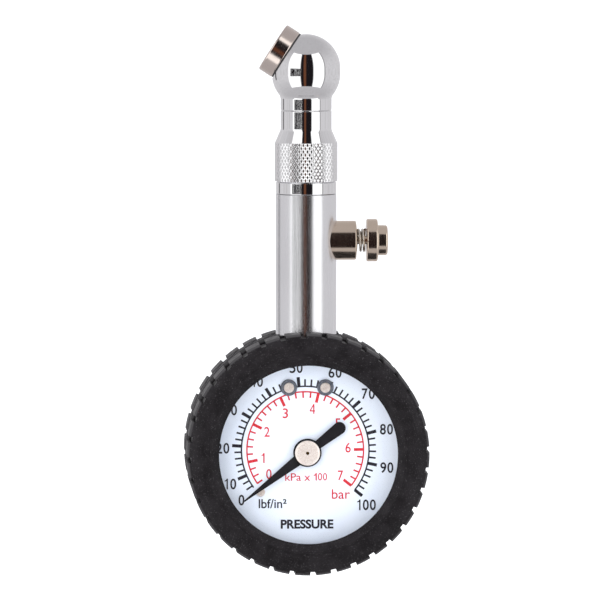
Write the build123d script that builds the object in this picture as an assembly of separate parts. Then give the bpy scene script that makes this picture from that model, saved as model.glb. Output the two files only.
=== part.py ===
"""Dial tyre-pressure gauge with a swivelling ball chuck, a bleed valve and a tyre-shaped rubber boot.

Millimetres. The stem runs up +Z, the dial faces -Y and the bleed button points along +X. The origin is the
centre of the boot, where the pointer's axis crosses the stem's axis.

Pieces of the gauge itself are drawn lying on their back, with local +Z out through the dial, local +Y up the
stem and "level" the height towards the dial, and are then stood up by upright(). Pieces of the bleed valve
are drawn along local +Z and laid along +X by sideways(). Pieces of the chuck are drawn along local +Z from
the centre of the ball and aimed by aimed().
"""
import os
from math import acos, cos, degrees, hypot, pi, radians, sin, sqrt, tan

from build123d import *

OUT = "parts"
FIT = 0.03                  # radial running clearance of a pivot in its hole
GAP = 0.05                  # radial clearance between turned parts that move on each other
SEAT = 0.02                 # clearance all round a piece fixed in its seat

# Rubber boot
BOOT_R = 29.85              # over the tread blocks
BOOT_HALF = 15.0            # half the boot's thickness
SHOULDER_LEVEL = 13.2       # where the sidewall meets the tread
LIP_R = 22.0                # front opening
LIP_LEVEL = 12.75           # inner face of the front lip
LIP_EDGE_R = 24.0           # outer edge of the bevel round the front opening
LIP_BEVEL = 1.3
BACK_LIP_R = 20.0
BACK_LIP_LEVEL = -13.05
CAVITY_R = 25.75
TREAD_DEPTH = 1.05          # of the grooves
SLOT_DEPTH = 0.95           # of the cross slots
BLOCKS = 36                 # tread blocks in each row
BLOCK_PHASE = 2.3           # angle of the first slot past the top, in degrees
SLOT_WIDTH = 1.5
GROOVE_IN, GROOVE_OUT = 3.0, 4.8    # the two grooves round the tread, by level
CENTRE_SLOT_TILT = 28.0

# Gauge case, bezel and lens
CASE_R = 25.0
CASE_WALL = 0.6
CASE_BACK = -12.95
CASE_RIM = 10.0
BEZEL_R = 25.6
BEZEL_WALL = 0.45
BEZEL_INNER_R = 22.8
BEZEL_SKIRT = 6.0           # level where the bezel's skirt ends
LENS_R = 24.9
LENS_THICKNESS = 1.5
GASKET_THICKNESS = 0.8

# Dial and pointer
DIAL_R = 23.4
DIAL_FACE = 5.4
DIAL_THICKNESS = 0.4
SCREW_X, SCREW_Y = 4.5, 16.0        # dial screws, into the socket block
SCREW_HEAD_R, SCREW_HEAD = 1.26, 1.0
SCREW_SHANK_R = 0.9
GROMMET_R, GROMMET = 2.03, 0.6
RIVET_R, RIVET_HEAD = 1.13, 0.5
RIVET_AT_R, RIVET_ANGLE = 15.1, 220.6
POINTER_ANGLE = 217.5       # where the pointer rests, anticlockwise from +X as the dial is read
POINTER_SWEEP = 258.0       # clockwise, from rest to just past full scale
POINTER_LEVEL, POINTER_THICKNESS = 7.0, 0.4
POINTER_LENGTH, POINTER_TIP_W, POINTER_ROOT_W = 19.7, 0.3, 2.66
POINTER_BOSS_R = 3.5
TAIL_LENGTH, TAIL_ROOT_W, TAIL_END_W = 11.5, 2.2, 3.1
HUB_R, HUB_THICKNESS = 3.06, 1.2

# Movement
MODULE = 0.3
PINION_TEETH, SECTOR_TEETH = 10, 70  # the sector is cut from a full wheel of 70
PRESSURE_ANGLE = 20.0
SHIFT = 0.4                 # profile shift, plus on the pinion and minus on the sector
ADDENDUM, DEDENDUM = 0.9, 1.25
BACKLASH = 0.07
GEAR_RATIO = SECTOR_TEETH / PINION_TEETH
CENTRE_DISTANCE = MODULE * (PINION_TEETH + SECTOR_TEETH) / 2
SECTOR_SWING = POINTER_SWEEP / GEAR_RATIO
SECTOR_HALF_THICKNESS = 0.5
ARBOR_R, ARBOR_NOSE_R = 0.5, 0.4
PLATE_THICKNESS = 0.8
FRONT_PLATE, BACK_PLATE = 1.8, -2.2  # facing faces of the two movement plates, by level
PLATE_LEFT, PLATE_RIGHT = -14.2, 5.8
PLATE_BOTTOM, PLATE_TOP = -9.8, 10.3
PLATE_CORNER_R = 3.0
PILLARS = ((0.0, 8.6), (-12.2, 7.2), (3.4, -7.4))
PILLAR_R, PILLAR_THREAD = 0.85, 1.6
PLATE_SCREWS = ((-3.8, 8.6), (3.8, 8.6))
PLATE_SCREW_THREAD = 1.4
SMALL_SCREW_R, SMALL_HEAD_R, SMALL_HEAD = 0.4, 0.85, 0.55
TAIL_R = 4.5                # pivot to link pin, on the sector
TAIL_MID_ANGLE = 200.4      # direction of the sector's tail at half swing
LINK_LEVEL, LINK_THICKNESS, LINK_W = 0.6, 0.7, 1.8
LINK_PIN_R = 0.4
HAIRSPRING_LEVEL, HAIRSPRING_W, HAIRSPRING_STRIP = -1.7, 0.6, 0.16
HAIRSPRING_IN, HAIRSPRING_OUT, HAIRSPRING_TURNS = 1.25, 4.9, 4.5
COLLET_R = 1.15

# Pressure element
TUBE_R = 18.3               # mean radius of the Bourdon tube
TUBE_SECTION, TUBE_W, TUBE_WALL = 1.6, 5.0, 0.25
TUBE_LEVEL = -2.6           # middle of the tube's width
TUBE_FIXED, TUBE_FREE = 85.0, -135.0    # angles of the two ends, the tube running clockwise
CAP_WALL, CAP_TURN = 0.3, 6.0
TIP_ANGLE = -138.2          # angle of the link's pin on the tube's tip
BLOCK_W, BLOCK_BOTTOM = 14.0, 10.6
BLOCK_BACK, BLOCK_FRONT = -6.2, 5.0
BLOCK_TOP_R = 24.3
TONGUE_W, TONGUE_BOTTOM = 11.0, 6.4
NIPPLE_R, NIPPLE_TOP, NIPPLE_BORE = 4.8, 34.0, 1.5

# Stem
STEM_R = 7.5
STEM_BOTTOM, STEM_TOP = 25.9, 63.5
WASHER_R = 5.8
CHAMBER_R, CHAMBER_BOTTOM = 4.6, 46.0
SPIGOT_R, SPIGOT_BOTTOM = 5.2, 56.2

# Bleed valve
VALVE_Z = 52.0
BODY_R, BODY_SEAT, BODY_END = 4.85, 5.6, 12.35
BODY_SPIGOT_R, BODY_START = 3.25, 3.0
BODY_BORE = 1.05
SPRING_SEAT_R, SPRING_SEAT = 3.05, 10.35
FLANGE_R, FLANGE_START, FLANGE_END = 5.27, 14.9, 17.65
KNOB_R, KNOB_END = 3.7, 20.1
PLUNGER_R, FLAT_DEPTH = 1.0, 0.25
POPPET_R, POPPET_START, POPPET_END = 2.4, 0.4, 1.5
SPRING_MEAN_R, SPRING_WIRE_R, SPRING_PITCH = 2.62, 0.32, 1.0

# Swivel collar and chuck head
COLLAR_FOOT_R, KNURL_R, NECK_R = 7.45, 7.75, 6.3
KNURL_BOTTOM, KNURL_TOP, CONE_TOP, COLLAR_TOP = 66.5, 76.3, 79.5, 84.1
STUB_R, STUB_BOTTOM = 3.5, 67.6
CLIP_SHOULDER, CLIP_THICKNESS, CLIP_R = 70.0, 0.7, 4.1
ORING_Z, ORING_R = 79.0, 0.58
BALL_R, BALL_Z = 8.45, 94.5
NECK_TOP = 87.1
LOWER_BALL_Z = 93.2         # centre of the ball's lower half, a short straight band below the upper half
BALL_FOOT_R = 6.6           # where the lower half ends, over the neck
PASSAGE_R = 1.6
CHUCK_TILT = 57.0           # chuck axis from the stem's axis, leaning to -X
CHUCK_SWING = 5.4           # how far the head stands swivelled to the back, about the stem's axis
FLAT_S = 5.85               # the ball's flat, by distance from the ball's centre along the chuck axis
CHUCK_BORE_R, CHUCK_FLOOR = 5.0, 0.5
INSERT_R, INSERT_START, INSERT_END = 6.45, 5.95, 9.8
INSERT_SPIGOT_R = 4.95
VALVE_BORE_R, VALVE_BORE_FLOOR = 4.15, 5.2
SEAL_R, SEAL_BOTTOM, SEAL_TOP, SEAL_HOLE_R = 3.9, 2.6, 5.1, 1.7
DEPRESSOR_R, DEPRESSOR_TOP = 0.8, 5.0


def upright(shape):
    """A gauge piece, drawn lying on its back, stood up with its dial facing -Y."""
    return Rot(90, 0, 0) * shape


def sideways(shape):
    """A bleed valve piece, drawn along +Z from the stem's axis, laid along +X at the valve's height."""
    return Pos(0, 0, VALVE_Z) * Rot(0, 90, 0) * shape


def aimed(shape):
    """A chuck piece, drawn along +Z from the centre of the ball, aimed along the chuck's axis."""
    return Pos(0, 0, BALL_Z) * Rot(0, 0, -CHUCK_SWING) * Rot(0, -CHUCK_TILT, 0) * shape


def turned(*half_section):
    """A solid turned about +Z from the (radius, height) corners of its half section."""
    return revolve(Plane.XZ * make_face(Polyline(*half_section, close=True)), Axis.Z)


def tube(inner_r, outer_r, low, high):
    return turned((inner_r, low), (outer_r, low), (outer_r, high), (inner_r, high))


def rod(radius, low, high):
    return Pos(0, 0, low) * extrude(Circle(radius), high - low)


def slab(sketch, low, high):
    return Pos(0, 0, low) * extrude(sketch, high - low)


def at_angle(radius, angle):
    """The point at a radius and an angle, anticlockwise from +X as the dial is read."""
    return radius * cos(radians(angle)), radius * sin(radians(angle))


def save(name, shape):
    solids = shape.solids() if hasattr(shape, "solids") else [s for part in shape for s in part.solids()]
    whole = solids[0] if len(solids) == 1 else Compound(children=list(solids))
    export_step(whole, os.path.join(OUT, f"{name}.step"))
    print(f"{name}: {len(solids)} solid(s), {sum(s.volume for s in solids):.1f} mm3")


# ---------------------------------------------------------------- boot

def boot_section():
    """Half section of the boot as (radius, level), with both grooves round the tread."""
    floor = BOOT_R - TREAD_DEPTH
    front = Polyline((CAVITY_R, LIP_LEVEL), (LIP_R, LIP_LEVEL), (LIP_R, BOOT_HALF - LIP_BEVEL),
                     (LIP_EDGE_R, BOOT_HALF))
    front_wall = ThreePointArc((LIP_EDGE_R, BOOT_HALF), (27.4, BOOT_HALF - 0.5),
                               (BOOT_R - 0.1, SHOULDER_LEVEL))
    tread = Polyline((BOOT_R - 0.1, SHOULDER_LEVEL), (BOOT_R, SHOULDER_LEVEL - 0.4),
                     (BOOT_R, GROOVE_OUT), (floor, GROOVE_OUT), (floor, GROOVE_IN), (BOOT_R, GROOVE_IN),
                     (BOOT_R, -GROOVE_IN), (floor, -GROOVE_IN), (floor, -GROOVE_OUT), (BOOT_R, -GROOVE_OUT),
                     (BOOT_R, -SHOULDER_LEVEL + 0.4), (BOOT_R - 0.1, -SHOULDER_LEVEL))
    back_wall = ThreePointArc((BOOT_R - 0.1, -SHOULDER_LEVEL), (27.4, -BOOT_HALF + 0.5),
                              (LIP_EDGE_R, -BOOT_HALF))
    back = Polyline((LIP_EDGE_R, -BOOT_HALF), (BACK_LIP_R + 0.6, -BOOT_HALF), (BACK_LIP_R, -BOOT_HALF + 0.6),
                    (BACK_LIP_R, BACK_LIP_LEVEL), (CAVITY_R, BACK_LIP_LEVEL), (CAVITY_R, LIP_LEVEL))
    return Plane.XZ * make_face(Curve() + [front, front_wall, tread, back_wall, back])


def tread_slots():
    """The cross slots of the two shoulder rows, and the slanted ones of the centre row half a pitch on."""
    floor = BOOT_R - SLOT_DEPTH
    depth = 3.0
    shoulder_length = BOOT_HALF - GROOVE_OUT + 2.0
    cuts = []
    for k in range(BLOCKS):
        angle = 90 + BLOCK_PHASE + k * 360 / BLOCKS
        for side in (1, -1):
            middle = side * (GROOVE_OUT + shoulder_length / 2 - 0.3)
            cuts.append(Rot(0, 0, angle) * Pos(floor + depth / 2, 0, middle)
                        * Box(depth, SLOT_WIDTH, shoulder_length))
        cuts.append(Rot(0, 0, angle + 180 / BLOCKS) * Pos(floor + depth / 2, 0, 0)
                    * Rot(CENTRE_SLOT_TILT, 0, 0) * Box(depth, 0.8 * SLOT_WIDTH, 2 * GROOVE_IN + 1.8))
    return cuts


def rubber_boot():
    body = revolve(boot_section(), Axis.Z)
    body -= tread_slots()
    return upright(body) - rod(STEM_R + 0.1, CAVITY_R - 2, BOOT_R + 2)


# ---------------------------------------------------------------- case and glass

def gauge_case():
    inner = CASE_R - CASE_WALL
    step_r, step = 17.0, 0.5
    cup = turned((0, CASE_BACK + step), (step_r, CASE_BACK + step), (step_r + step, CASE_BACK),
                 (CASE_R - 0.8, CASE_BACK), (CASE_R, CASE_BACK + 0.8), (CASE_R, CASE_RIM), (inner, CASE_RIM),
                 (inner, CASE_BACK + 1.0), (inner - 0.4, CASE_BACK + CASE_WALL),
                 (step_r + step, CASE_BACK + CASE_WALL), (step_r, CASE_BACK + CASE_WALL + step),
                 (0, CASE_BACK + CASE_WALL + step))
    return upright(cup) - rod(NIPPLE_R + 0.15, CASE_R - 3, CASE_R + 1)


def lens_level():
    return CASE_RIM + GASKET_THICKNESS


def lens_gasket():
    return upright(tube(BEZEL_INNER_R, LENS_R, CASE_RIM, lens_level()))


def lens():
    low, high = lens_level(), lens_level() + LENS_THICKNESS
    return upright(turned((0, low), (LENS_R, low), (LENS_R, high - 0.3), (LENS_R - 0.3, high), (0, high)))


def bezel_ring():
    """A rolled ring that holds the lens: a flange over the glass and a skirt down the case."""
    face = lens_level() + LENS_THICKNESS
    skirt_r = BEZEL_R - BEZEL_WALL
    return upright(turned((BEZEL_INNER_R, face), (skirt_r, face), (skirt_r, BEZEL_SKIRT),
                          (BEZEL_R, BEZEL_SKIRT), (BEZEL_R, face + 0.15), (BEZEL_R - 0.25, face + 0.4),
                          (BEZEL_INNER_R, face + 0.4)))


# ---------------------------------------------------------------- dial and pointer

def dial_plate():
    back = DIAL_FACE - DIAL_THICKNESS
    holes = [Pos(x, SCREW_Y) * Circle(SCREW_SHANK_R) for x in (-SCREW_X, SCREW_X)]
    holes += [Circle(1.2), Pos(*at_angle(RIVET_AT_R, RIVET_ANGLE)) * Circle(0.6)]
    return upright(slab(Circle(DIAL_R) - holes, back, DIAL_FACE))


def dial_screw(x):
    """Pan-head screw with a driver slot."""
    crown = 0.25
    head = turned((0, DIAL_FACE), (SCREW_HEAD_R, DIAL_FACE), (SCREW_HEAD_R, DIAL_FACE + SCREW_HEAD - crown),
                  (SCREW_HEAD_R - crown, DIAL_FACE + SCREW_HEAD), (0, DIAL_FACE + SCREW_HEAD))
    slot = Pos(0, 0, DIAL_FACE + SCREW_HEAD) * Box(3, 0.35, 0.6)
    screw = head + rod(SCREW_SHANK_R, 1.0, DIAL_FACE) - Rot(0, 0, 35 + 20 * x) * slot
    return upright(Pos(x, SCREW_Y) * screw)


def dial_screws():
    return [dial_screw(x) for x in (-SCREW_X, SCREW_X)]


def dial_grommets():
    ring = tube(SCREW_HEAD_R, GROMMET_R, DIAL_FACE, DIAL_FACE + GROMMET)
    return [upright(Pos(x, SCREW_Y) * ring) for x in (-SCREW_X, SCREW_X)]


def dial_rivet():
    x, y = at_angle(RIVET_AT_R, RIVET_ANGLE)
    crown = 0.3
    tail, top = DIAL_FACE - DIAL_THICKNESS - 0.4, DIAL_FACE + RIVET_HEAD
    return upright(Pos(x, y) * turned((0, tail), (0.6, tail), (0.6, DIAL_FACE), (RIVET_R, DIAL_FACE),
                                      (RIVET_R, top - crown), (RIVET_R - crown, top), (0, top)))


def pointer():
    """Flat blade: a long taper to the tip, a boss under the hub and a counterweight tail with a round end."""
    root, tip, end = POINTER_ROOT_W / 2, POINTER_TIP_W / 2, TAIL_END_W / 2
    blade = make_face(Polyline((0, root), (POINTER_LENGTH, tip), (POINTER_LENGTH, -tip), (0, -root),
                               close=True))
    tail_end = -(TAIL_LENGTH - end)
    tail = make_face(Polyline((0, TAIL_ROOT_W / 2), (tail_end, end), (tail_end, -end), (0, -TAIL_ROOT_W / 2),
                              close=True))
    outline = blade + tail + Pos(tail_end, 0) * Circle(end) + Circle(POINTER_BOSS_R) - Circle(ARBOR_NOSE_R)
    return upright(Rot(0, 0, POINTER_ANGLE) * slab(outline, POINTER_LEVEL, POINTER_LEVEL + POINTER_THICKNESS))


def pointer_hub():
    low = POINTER_LEVEL + POINTER_THICKNESS
    high = low + HUB_THICKNESS
    return upright(turned((ARBOR_NOSE_R, low), (HUB_R, low), (HUB_R, high - 0.3), (HUB_R - 0.3, high),
                          (ARBOR_NOSE_R + 0.2, high), (ARBOR_NOSE_R, high - 0.2)))


# ---------------------------------------------------------------- gears

def tooth_half_angle(radius, teeth, shift):
    """Half the angle that a tooth fills at a radius, for an involute tooth with the movement's backlash."""
    alpha = radians(PRESSURE_ANGLE)
    pitch_r = MODULE * teeth / 2
    base_r = pitch_r * cos(alpha)
    thickness = MODULE * (pi / 2 + 2 * shift * tan(alpha)) - BACKLASH
    local = acos(base_r / max(radius, base_r))
    return thickness / (2 * pitch_r) + (tan(alpha) - alpha) - (tan(local) - local)


def tooth(teeth, shift, bury):
    """One tooth on +X, drawn from a little inside its root circle, out to its tip."""
    base_r = MODULE * teeth / 2 * cos(radians(PRESSURE_ANGLE))
    root_r, tip_r = gear_radii(teeth, shift)
    flank_start = max(root_r, base_r)
    steps = 4
    flank = [flank_start + (tip_r - flank_start) * k / steps for k in range(steps + 1)]
    upper = [at_angle(r, degrees(tooth_half_angle(r, teeth, shift))) for r in flank]
    lower = [(x, -y) for x, y in upper]
    foot = at_angle(root_r - bury, degrees(tooth_half_angle(flank_start, teeth, shift)))
    return make_face(Curve() + [Spline(*upper), Line(upper[-1], lower[-1]), Spline(*reversed(lower)),
                                Polyline(lower[0], (foot[0], -foot[1]), foot, upper[0])])


def gear_radii(teeth, shift):
    """Root and tip radius."""
    return MODULE * (teeth / 2 - DEDENDUM + shift), MODULE * (teeth / 2 + ADDENDUM + shift)


def pinion_arbor():
    """Pointer arbor and its pinion, cut from one bar, with a nose that carries the pointer."""
    root_r, _ = gear_radii(PINION_TEETH, SHIFT)
    half = SECTOR_HALF_THICKNESS + 0.1
    pitch = 360 / PINION_TEETH
    outline = Circle(root_r)
    for k in range(PINION_TEETH):
        outline += Rot(0, 0, 180 + pitch / 2 + k * pitch) * tooth(PINION_TEETH, SHIFT, 0.15)
    nose_end = POINTER_LEVEL + POINTER_THICKNESS + HUB_THICKNESS
    arbor = rod(ARBOR_R, BACK_PLATE - PLATE_THICKNESS + 0.05, POINTER_LEVEL)
    arbor += rod(ARBOR_NOSE_R, POINTER_LEVEL, nose_end)
    return upright(slab(outline, -half, half) + arbor)


def sector_pivot():
    return Pos(-CENTRE_DISTANCE, 0)


def sector_gear():
    """Toothed fan with a tail for the link, at rest with most of its teeth still below the pinion."""
    root_r, _ = gear_radii(SECTOR_TEETH, -SHIFT)
    pitch = 360 / SECTOR_TEETH
    first, last = -(int(SECTOR_SWING / pitch) + 3), 2
    low, high = (first - 0.5) * pitch, (last + 0.5) * pitch
    rim, spoke, hub_r, tail_eye_r = 1.6, 11, 1.7, 1.1
    fan = Polygon((0, 0), at_angle(30, low), at_angle(30, high), align=None) & Circle(root_r)
    window = (Polygon((0, 0), at_angle(30, low + spoke), at_angle(30, high - spoke), align=None)
              & (Circle(root_r - rim) - Circle(hub_r + 1.3)))
    teeth = [Rot(0, 0, k * pitch) * tooth(SECTOR_TEETH, -SHIFT, 0.2) for k in range(first, last + 1)]
    tail_end = Pos(*at_angle(TAIL_R, tail_angle()))
    tail = make_hull([*Circle(hub_r).edges(), *(tail_end * Circle(tail_eye_r)).edges()])
    outline = fan - window + teeth + Circle(hub_r) + tail
    outline -= [Circle(ARBOR_R), tail_end * Circle(LINK_PIN_R + FIT)]
    return upright(sector_pivot() * slab(outline, -SECTOR_HALF_THICKNESS, SECTOR_HALF_THICKNESS))


def sector_arbor():
    """The sector's pivot pin, riding with the sector in holes in both plates."""
    back, front = BACK_PLATE - PLATE_THICKNESS + 0.05, FRONT_PLATE + PLATE_THICKNESS - 0.05
    return upright(sector_pivot() * rod(ARBOR_R, back, front))


def tail_angle():
    """Direction of the sector's tail at rest, half a swing short of its middle."""
    return TAIL_MID_ANGLE - SECTOR_SWING / 2


def tail_pin_at():
    x, y = at_angle(TAIL_R, tail_angle())
    return x - CENTRE_DISTANCE, y


def tip_pin_at():
    return at_angle(TUBE_R, TIP_ANGLE)


def link_bar():
    """Flat bar from the sector's tail to the cap on the tube's free end."""
    ends = [Pos(*tail_pin_at()), Pos(*tip_pin_at())]
    bar = make_hull([edge for end in ends for edge in (end * Circle(LINK_W / 2)).edges()])
    bar -= [end * Circle(LINK_PIN_R) for end in ends]
    return upright(slab(bar, LINK_LEVEL, LINK_LEVEL + LINK_THICKNESS))


def link_pins():
    front = LINK_LEVEL + LINK_THICKNESS
    return [upright(Pos(*tail_pin_at()) * rod(LINK_PIN_R, -SECTOR_HALF_THICKNESS - 0.2, front)),
            upright(Pos(*tip_pin_at()) * rod(LINK_PIN_R, cap_front() - 1.0, front))]


def hairspring():
    """Flat spiral from the collet to the stud, a strip between two spirals."""
    steps = 72

    def edge(offset):
        points = []
        for k in range(steps + 1):
            share = k / steps
            radius = HAIRSPRING_IN + (HAIRSPRING_OUT - HAIRSPRING_IN) * share + offset
            points.append(at_angle(radius, 360 * HAIRSPRING_TURNS * share))
        return points

    inner, outer = edge(-HAIRSPRING_STRIP / 2), edge(HAIRSPRING_STRIP / 2)
    strip = make_face(Curve() + [Spline(*inner), Line(inner[-1], outer[-1]), Spline(*reversed(outer)),
                                 Line(outer[0], inner[0])])
    return upright(slab(strip, HAIRSPRING_LEVEL, HAIRSPRING_LEVEL + HAIRSPRING_W))


def hairspring_collet():
    return upright(tube(ARBOR_R, COLLET_R, HAIRSPRING_LEVEL - 0.05, HAIRSPRING_LEVEL + HAIRSPRING_W + 0.05))


def hairspring_stud():
    """Post on the back plate that holds the spring's outer end, just outside its last turn."""
    x, y = at_angle(HAIRSPRING_OUT + HAIRSPRING_STRIP / 2 + 0.45, 360 * HAIRSPRING_TURNS)
    return upright(Pos(x, y) * rod(0.45, BACK_PLATE, HAIRSPRING_LEVEL + HAIRSPRING_W))


# ---------------------------------------------------------------- movement frame

def movement_plate(low, screws):
    outline = Pos((PLATE_LEFT + PLATE_RIGHT) / 2, (PLATE_BOTTOM + PLATE_TOP) / 2) * RectangleRounded(
        PLATE_RIGHT - PLATE_LEFT, PLATE_TOP - PLATE_BOTTOM, PLATE_CORNER_R)
    holes = [Circle(ARBOR_R + FIT), sector_pivot() * Circle(ARBOR_R + FIT)]
    holes += [Pos(*at) * Circle(SMALL_SCREW_R) for at in screws]
    return upright(slab(outline - holes, low, low + PLATE_THICKNESS))


def movement_front_plate():
    return movement_plate(FRONT_PLATE, PILLARS)


def movement_back_plate():
    return movement_plate(BACK_PLATE - PLATE_THICKNESS, PLATE_SCREWS)


def movement_pillars():
    pillar = rod(PILLAR_R, BACK_PLATE, FRONT_PLATE)
    pillar -= rod(SMALL_SCREW_R, FRONT_PLATE - PILLAR_THREAD, FRONT_PLATE)
    return [upright(Pos(*at) * pillar) for at in PILLARS]


def small_screw(at, face, length):
    """Cheese-head screw with its head on a face and its shank behind it."""
    screw = rod(SMALL_HEAD_R, face, face + SMALL_HEAD) + rod(SMALL_SCREW_R, face - length, face)
    screw -= Pos(0, 0, face + SMALL_HEAD) * Box(2, 0.25, 0.4)
    return upright(Pos(*at) * screw)


def movement_screws():
    front_length = PLATE_THICKNESS + PILLAR_THREAD
    front = [small_screw(at, FRONT_PLATE + PLATE_THICKNESS, front_length) for at in PILLARS]
    back = [small_screw(at, BACK_PLATE, PLATE_THICKNESS + PLATE_SCREW_THREAD) for at in PLATE_SCREWS]
    return front + back


# ---------------------------------------------------------------- pressure element

def tube_section(thickness, width):
    """Flat oval across the Bourdon tube, at its mean radius on +X."""
    return Plane.XZ * (Pos(TUBE_R, TUBE_LEVEL) * RectangleRounded(thickness, width, thickness / 2 - 0.01))


def swept(section, start, end):
    """A section on +X swept round the dial's axis from one angle up to another."""
    return Rot(0, 0, start) * revolve(section, Axis.Z, end - start)


def bourdon_tube():
    ring = tube_section(TUBE_SECTION, TUBE_W)
    ring -= tube_section(TUBE_SECTION - 2 * TUBE_WALL, TUBE_W - 2 * TUBE_WALL)
    return upright(swept(ring, TUBE_FREE, TUBE_FIXED))


def cap_front():
    return TUBE_LEVEL + TUBE_W / 2 + CAP_WALL


def bourdon_tip_cap():
    """Block that closes the tube's free end and carries the link's pin."""
    outline = Rectangle(TUBE_SECTION + 2 * CAP_WALL, TUBE_W + 2 * CAP_WALL)
    section = Plane.XZ * (Pos(TUBE_R, TUBE_LEVEL) * outline)
    cap = swept(section, TUBE_FREE - 0.2 - CAP_TURN, TUBE_FREE - 0.2)
    return upright(cap - Pos(*tip_pin_at()) * rod(LINK_PIN_R, cap_front() - 1.0, cap_front()))


def socket_block():
    """Brass block that holds the Bourdon tube and the movement, with the threaded nipple for the stem."""
    middle = (BLOCK_BOTTOM + CASE_R) / 2
    block = slab(Pos(0, middle) * Rectangle(BLOCK_W, CASE_R - BLOCK_BOTTOM), BLOCK_BACK, BLOCK_FRONT)
    block &= rod(BLOCK_TOP_R, BLOCK_BACK, BLOCK_FRONT)
    tongue_top = BLOCK_BOTTOM + 0.2
    block += slab(Pos(0, (TONGUE_BOTTOM + tongue_top) / 2) * Rectangle(TONGUE_W, tongue_top - TONGUE_BOTTOM),
                  BLOCK_BACK, BACK_PLATE - PLATE_THICKNESS)
    block -= swept(tube_section(TUBE_SECTION + 2 * SEAT, TUBE_W + 2 * SEAT), TUBE_FIXED - 60, 90)
    block -= Pos(0, TUBE_R) * rod(NIPPLE_BORE, TUBE_LEVEL, 0.5)
    block -= [Pos(x, SCREW_Y) * rod(SCREW_SHANK_R, 1.0, BLOCK_FRONT) for x in (-SCREW_X, SCREW_X)]
    face = BACK_PLATE - PLATE_THICKNESS
    block -= [Pos(*at) * rod(SMALL_SCREW_R, face - PLATE_SCREW_THREAD, face) for at in PLATE_SCREWS]
    nipple = turned((0, BLOCK_TOP_R - 1.5), (NIPPLE_R, BLOCK_TOP_R - 1.5), (NIPPLE_R, NIPPLE_TOP - 0.5),
                    (NIPPLE_R - 0.5, NIPPLE_TOP), (0, NIPPLE_TOP))
    return upright(block) + nipple - rod(NIPPLE_BORE, TUBE_R, NIPPLE_TOP + 1)


# ---------------------------------------------------------------- stem

def stem_washer():
    """Sealing washer with a saddle underneath that follows the case's wall."""
    ring = tube(NIPPLE_R + 0.05, WASHER_R, CASE_R - 2, STEM_BOTTOM)
    return ring - upright(rod(CASE_R, CASE_BACK, CASE_RIM))


def stem_tube():
    edge = 0.3
    thread_r = NIPPLE_R + SEAT
    body = turned((thread_r, STEM_BOTTOM), (STEM_R - edge, STEM_BOTTOM), (STEM_R, STEM_BOTTOM + edge),
                  (STEM_R, STEM_TOP - edge / 2), (STEM_R - edge / 2, STEM_TOP), (SPIGOT_R + SEAT, STEM_TOP),
                  (SPIGOT_R + SEAT, SPIGOT_BOTTOM - 0.6), (CHAMBER_R, SPIGOT_BOTTOM - 0.6),
                  (CHAMBER_R, CHAMBER_BOTTOM), (2.2, CHAMBER_BOTTOM - 2.0), (2.2, NIPPLE_TOP + 1.0),
                  (thread_r, NIPPLE_TOP + 1.0))
    side_bore = rod(BODY_SPIGOT_R + SEAT, 1.0, BODY_SEAT) + rod(BODY_R + SEAT, BODY_SEAT, STEM_R + 3)
    return body - sideways(side_bore)


# ---------------------------------------------------------------- bleed valve

def bleed_valve_body():
    edge = 0.3
    return sideways(turned((BODY_BORE, BODY_START), (BODY_SPIGOT_R, BODY_START), (BODY_SPIGOT_R, BODY_SEAT),
                           (BODY_R, BODY_SEAT), (BODY_R, BODY_END - edge), (BODY_R - edge, BODY_END),
                           (SPRING_SEAT_R, BODY_END), (SPRING_SEAT_R, SPRING_SEAT), (BODY_BORE, SPRING_SEAT)))


def bleed_plunger():
    """Rod with a poppet head inside the stem, and flats along it that let air out past the body's bore."""
    stem = turned((0, POPPET_START), (POPPET_R, POPPET_START), (POPPET_R, POPPET_END),
                  (PLUNGER_R, POPPET_END), (PLUNGER_R, FLANGE_END), (0, FLANGE_END))
    middle, length = (BODY_START + SPRING_SEAT) / 2, SPRING_SEAT - BODY_START + 2.0
    milled = Box(2 * FLAT_DEPTH, 2 * PLUNGER_R, length)
    flats = [Pos(side * PLUNGER_R, 0, middle) * milled for side in (1, -1)]
    return sideways(stem - flats)


def poppet_seal():
    return sideways(tube(PLUNGER_R, POPPET_R - 0.1, POPPET_END, BODY_START - 0.02))


def bleed_button():
    edge = 0.35
    return sideways(turned((PLUNGER_R, FLANGE_START), (FLANGE_R - edge / 2, FLANGE_START),
                           (FLANGE_R, FLANGE_START + edge / 2), (FLANGE_R, FLANGE_END - edge),
                           (FLANGE_R - edge, FLANGE_END), (KNOB_R, FLANGE_END), (KNOB_R, KNOB_END - edge),
                           (KNOB_R - edge, KNOB_END), (0, KNOB_END), (0, FLANGE_END),
                           (PLUNGER_R, FLANGE_END)))


def bleed_spring():
    """Round-wire spring between the body's recess and the button's flange."""
    height = FLANGE_START - SPRING_SEAT - 2 * SPRING_WIRE_R - 0.04
    helix = Helix(SPRING_PITCH, height, SPRING_MEAN_R)
    wire = sweep(Plane(helix @ 0, z_dir=helix % 0) * Circle(SPRING_WIRE_R), helix, is_frenet=True)
    return sideways(Pos(0, 0, SPRING_SEAT + SPRING_WIRE_R + 0.02) * wire)


# ---------------------------------------------------------------- collar and chuck

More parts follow.
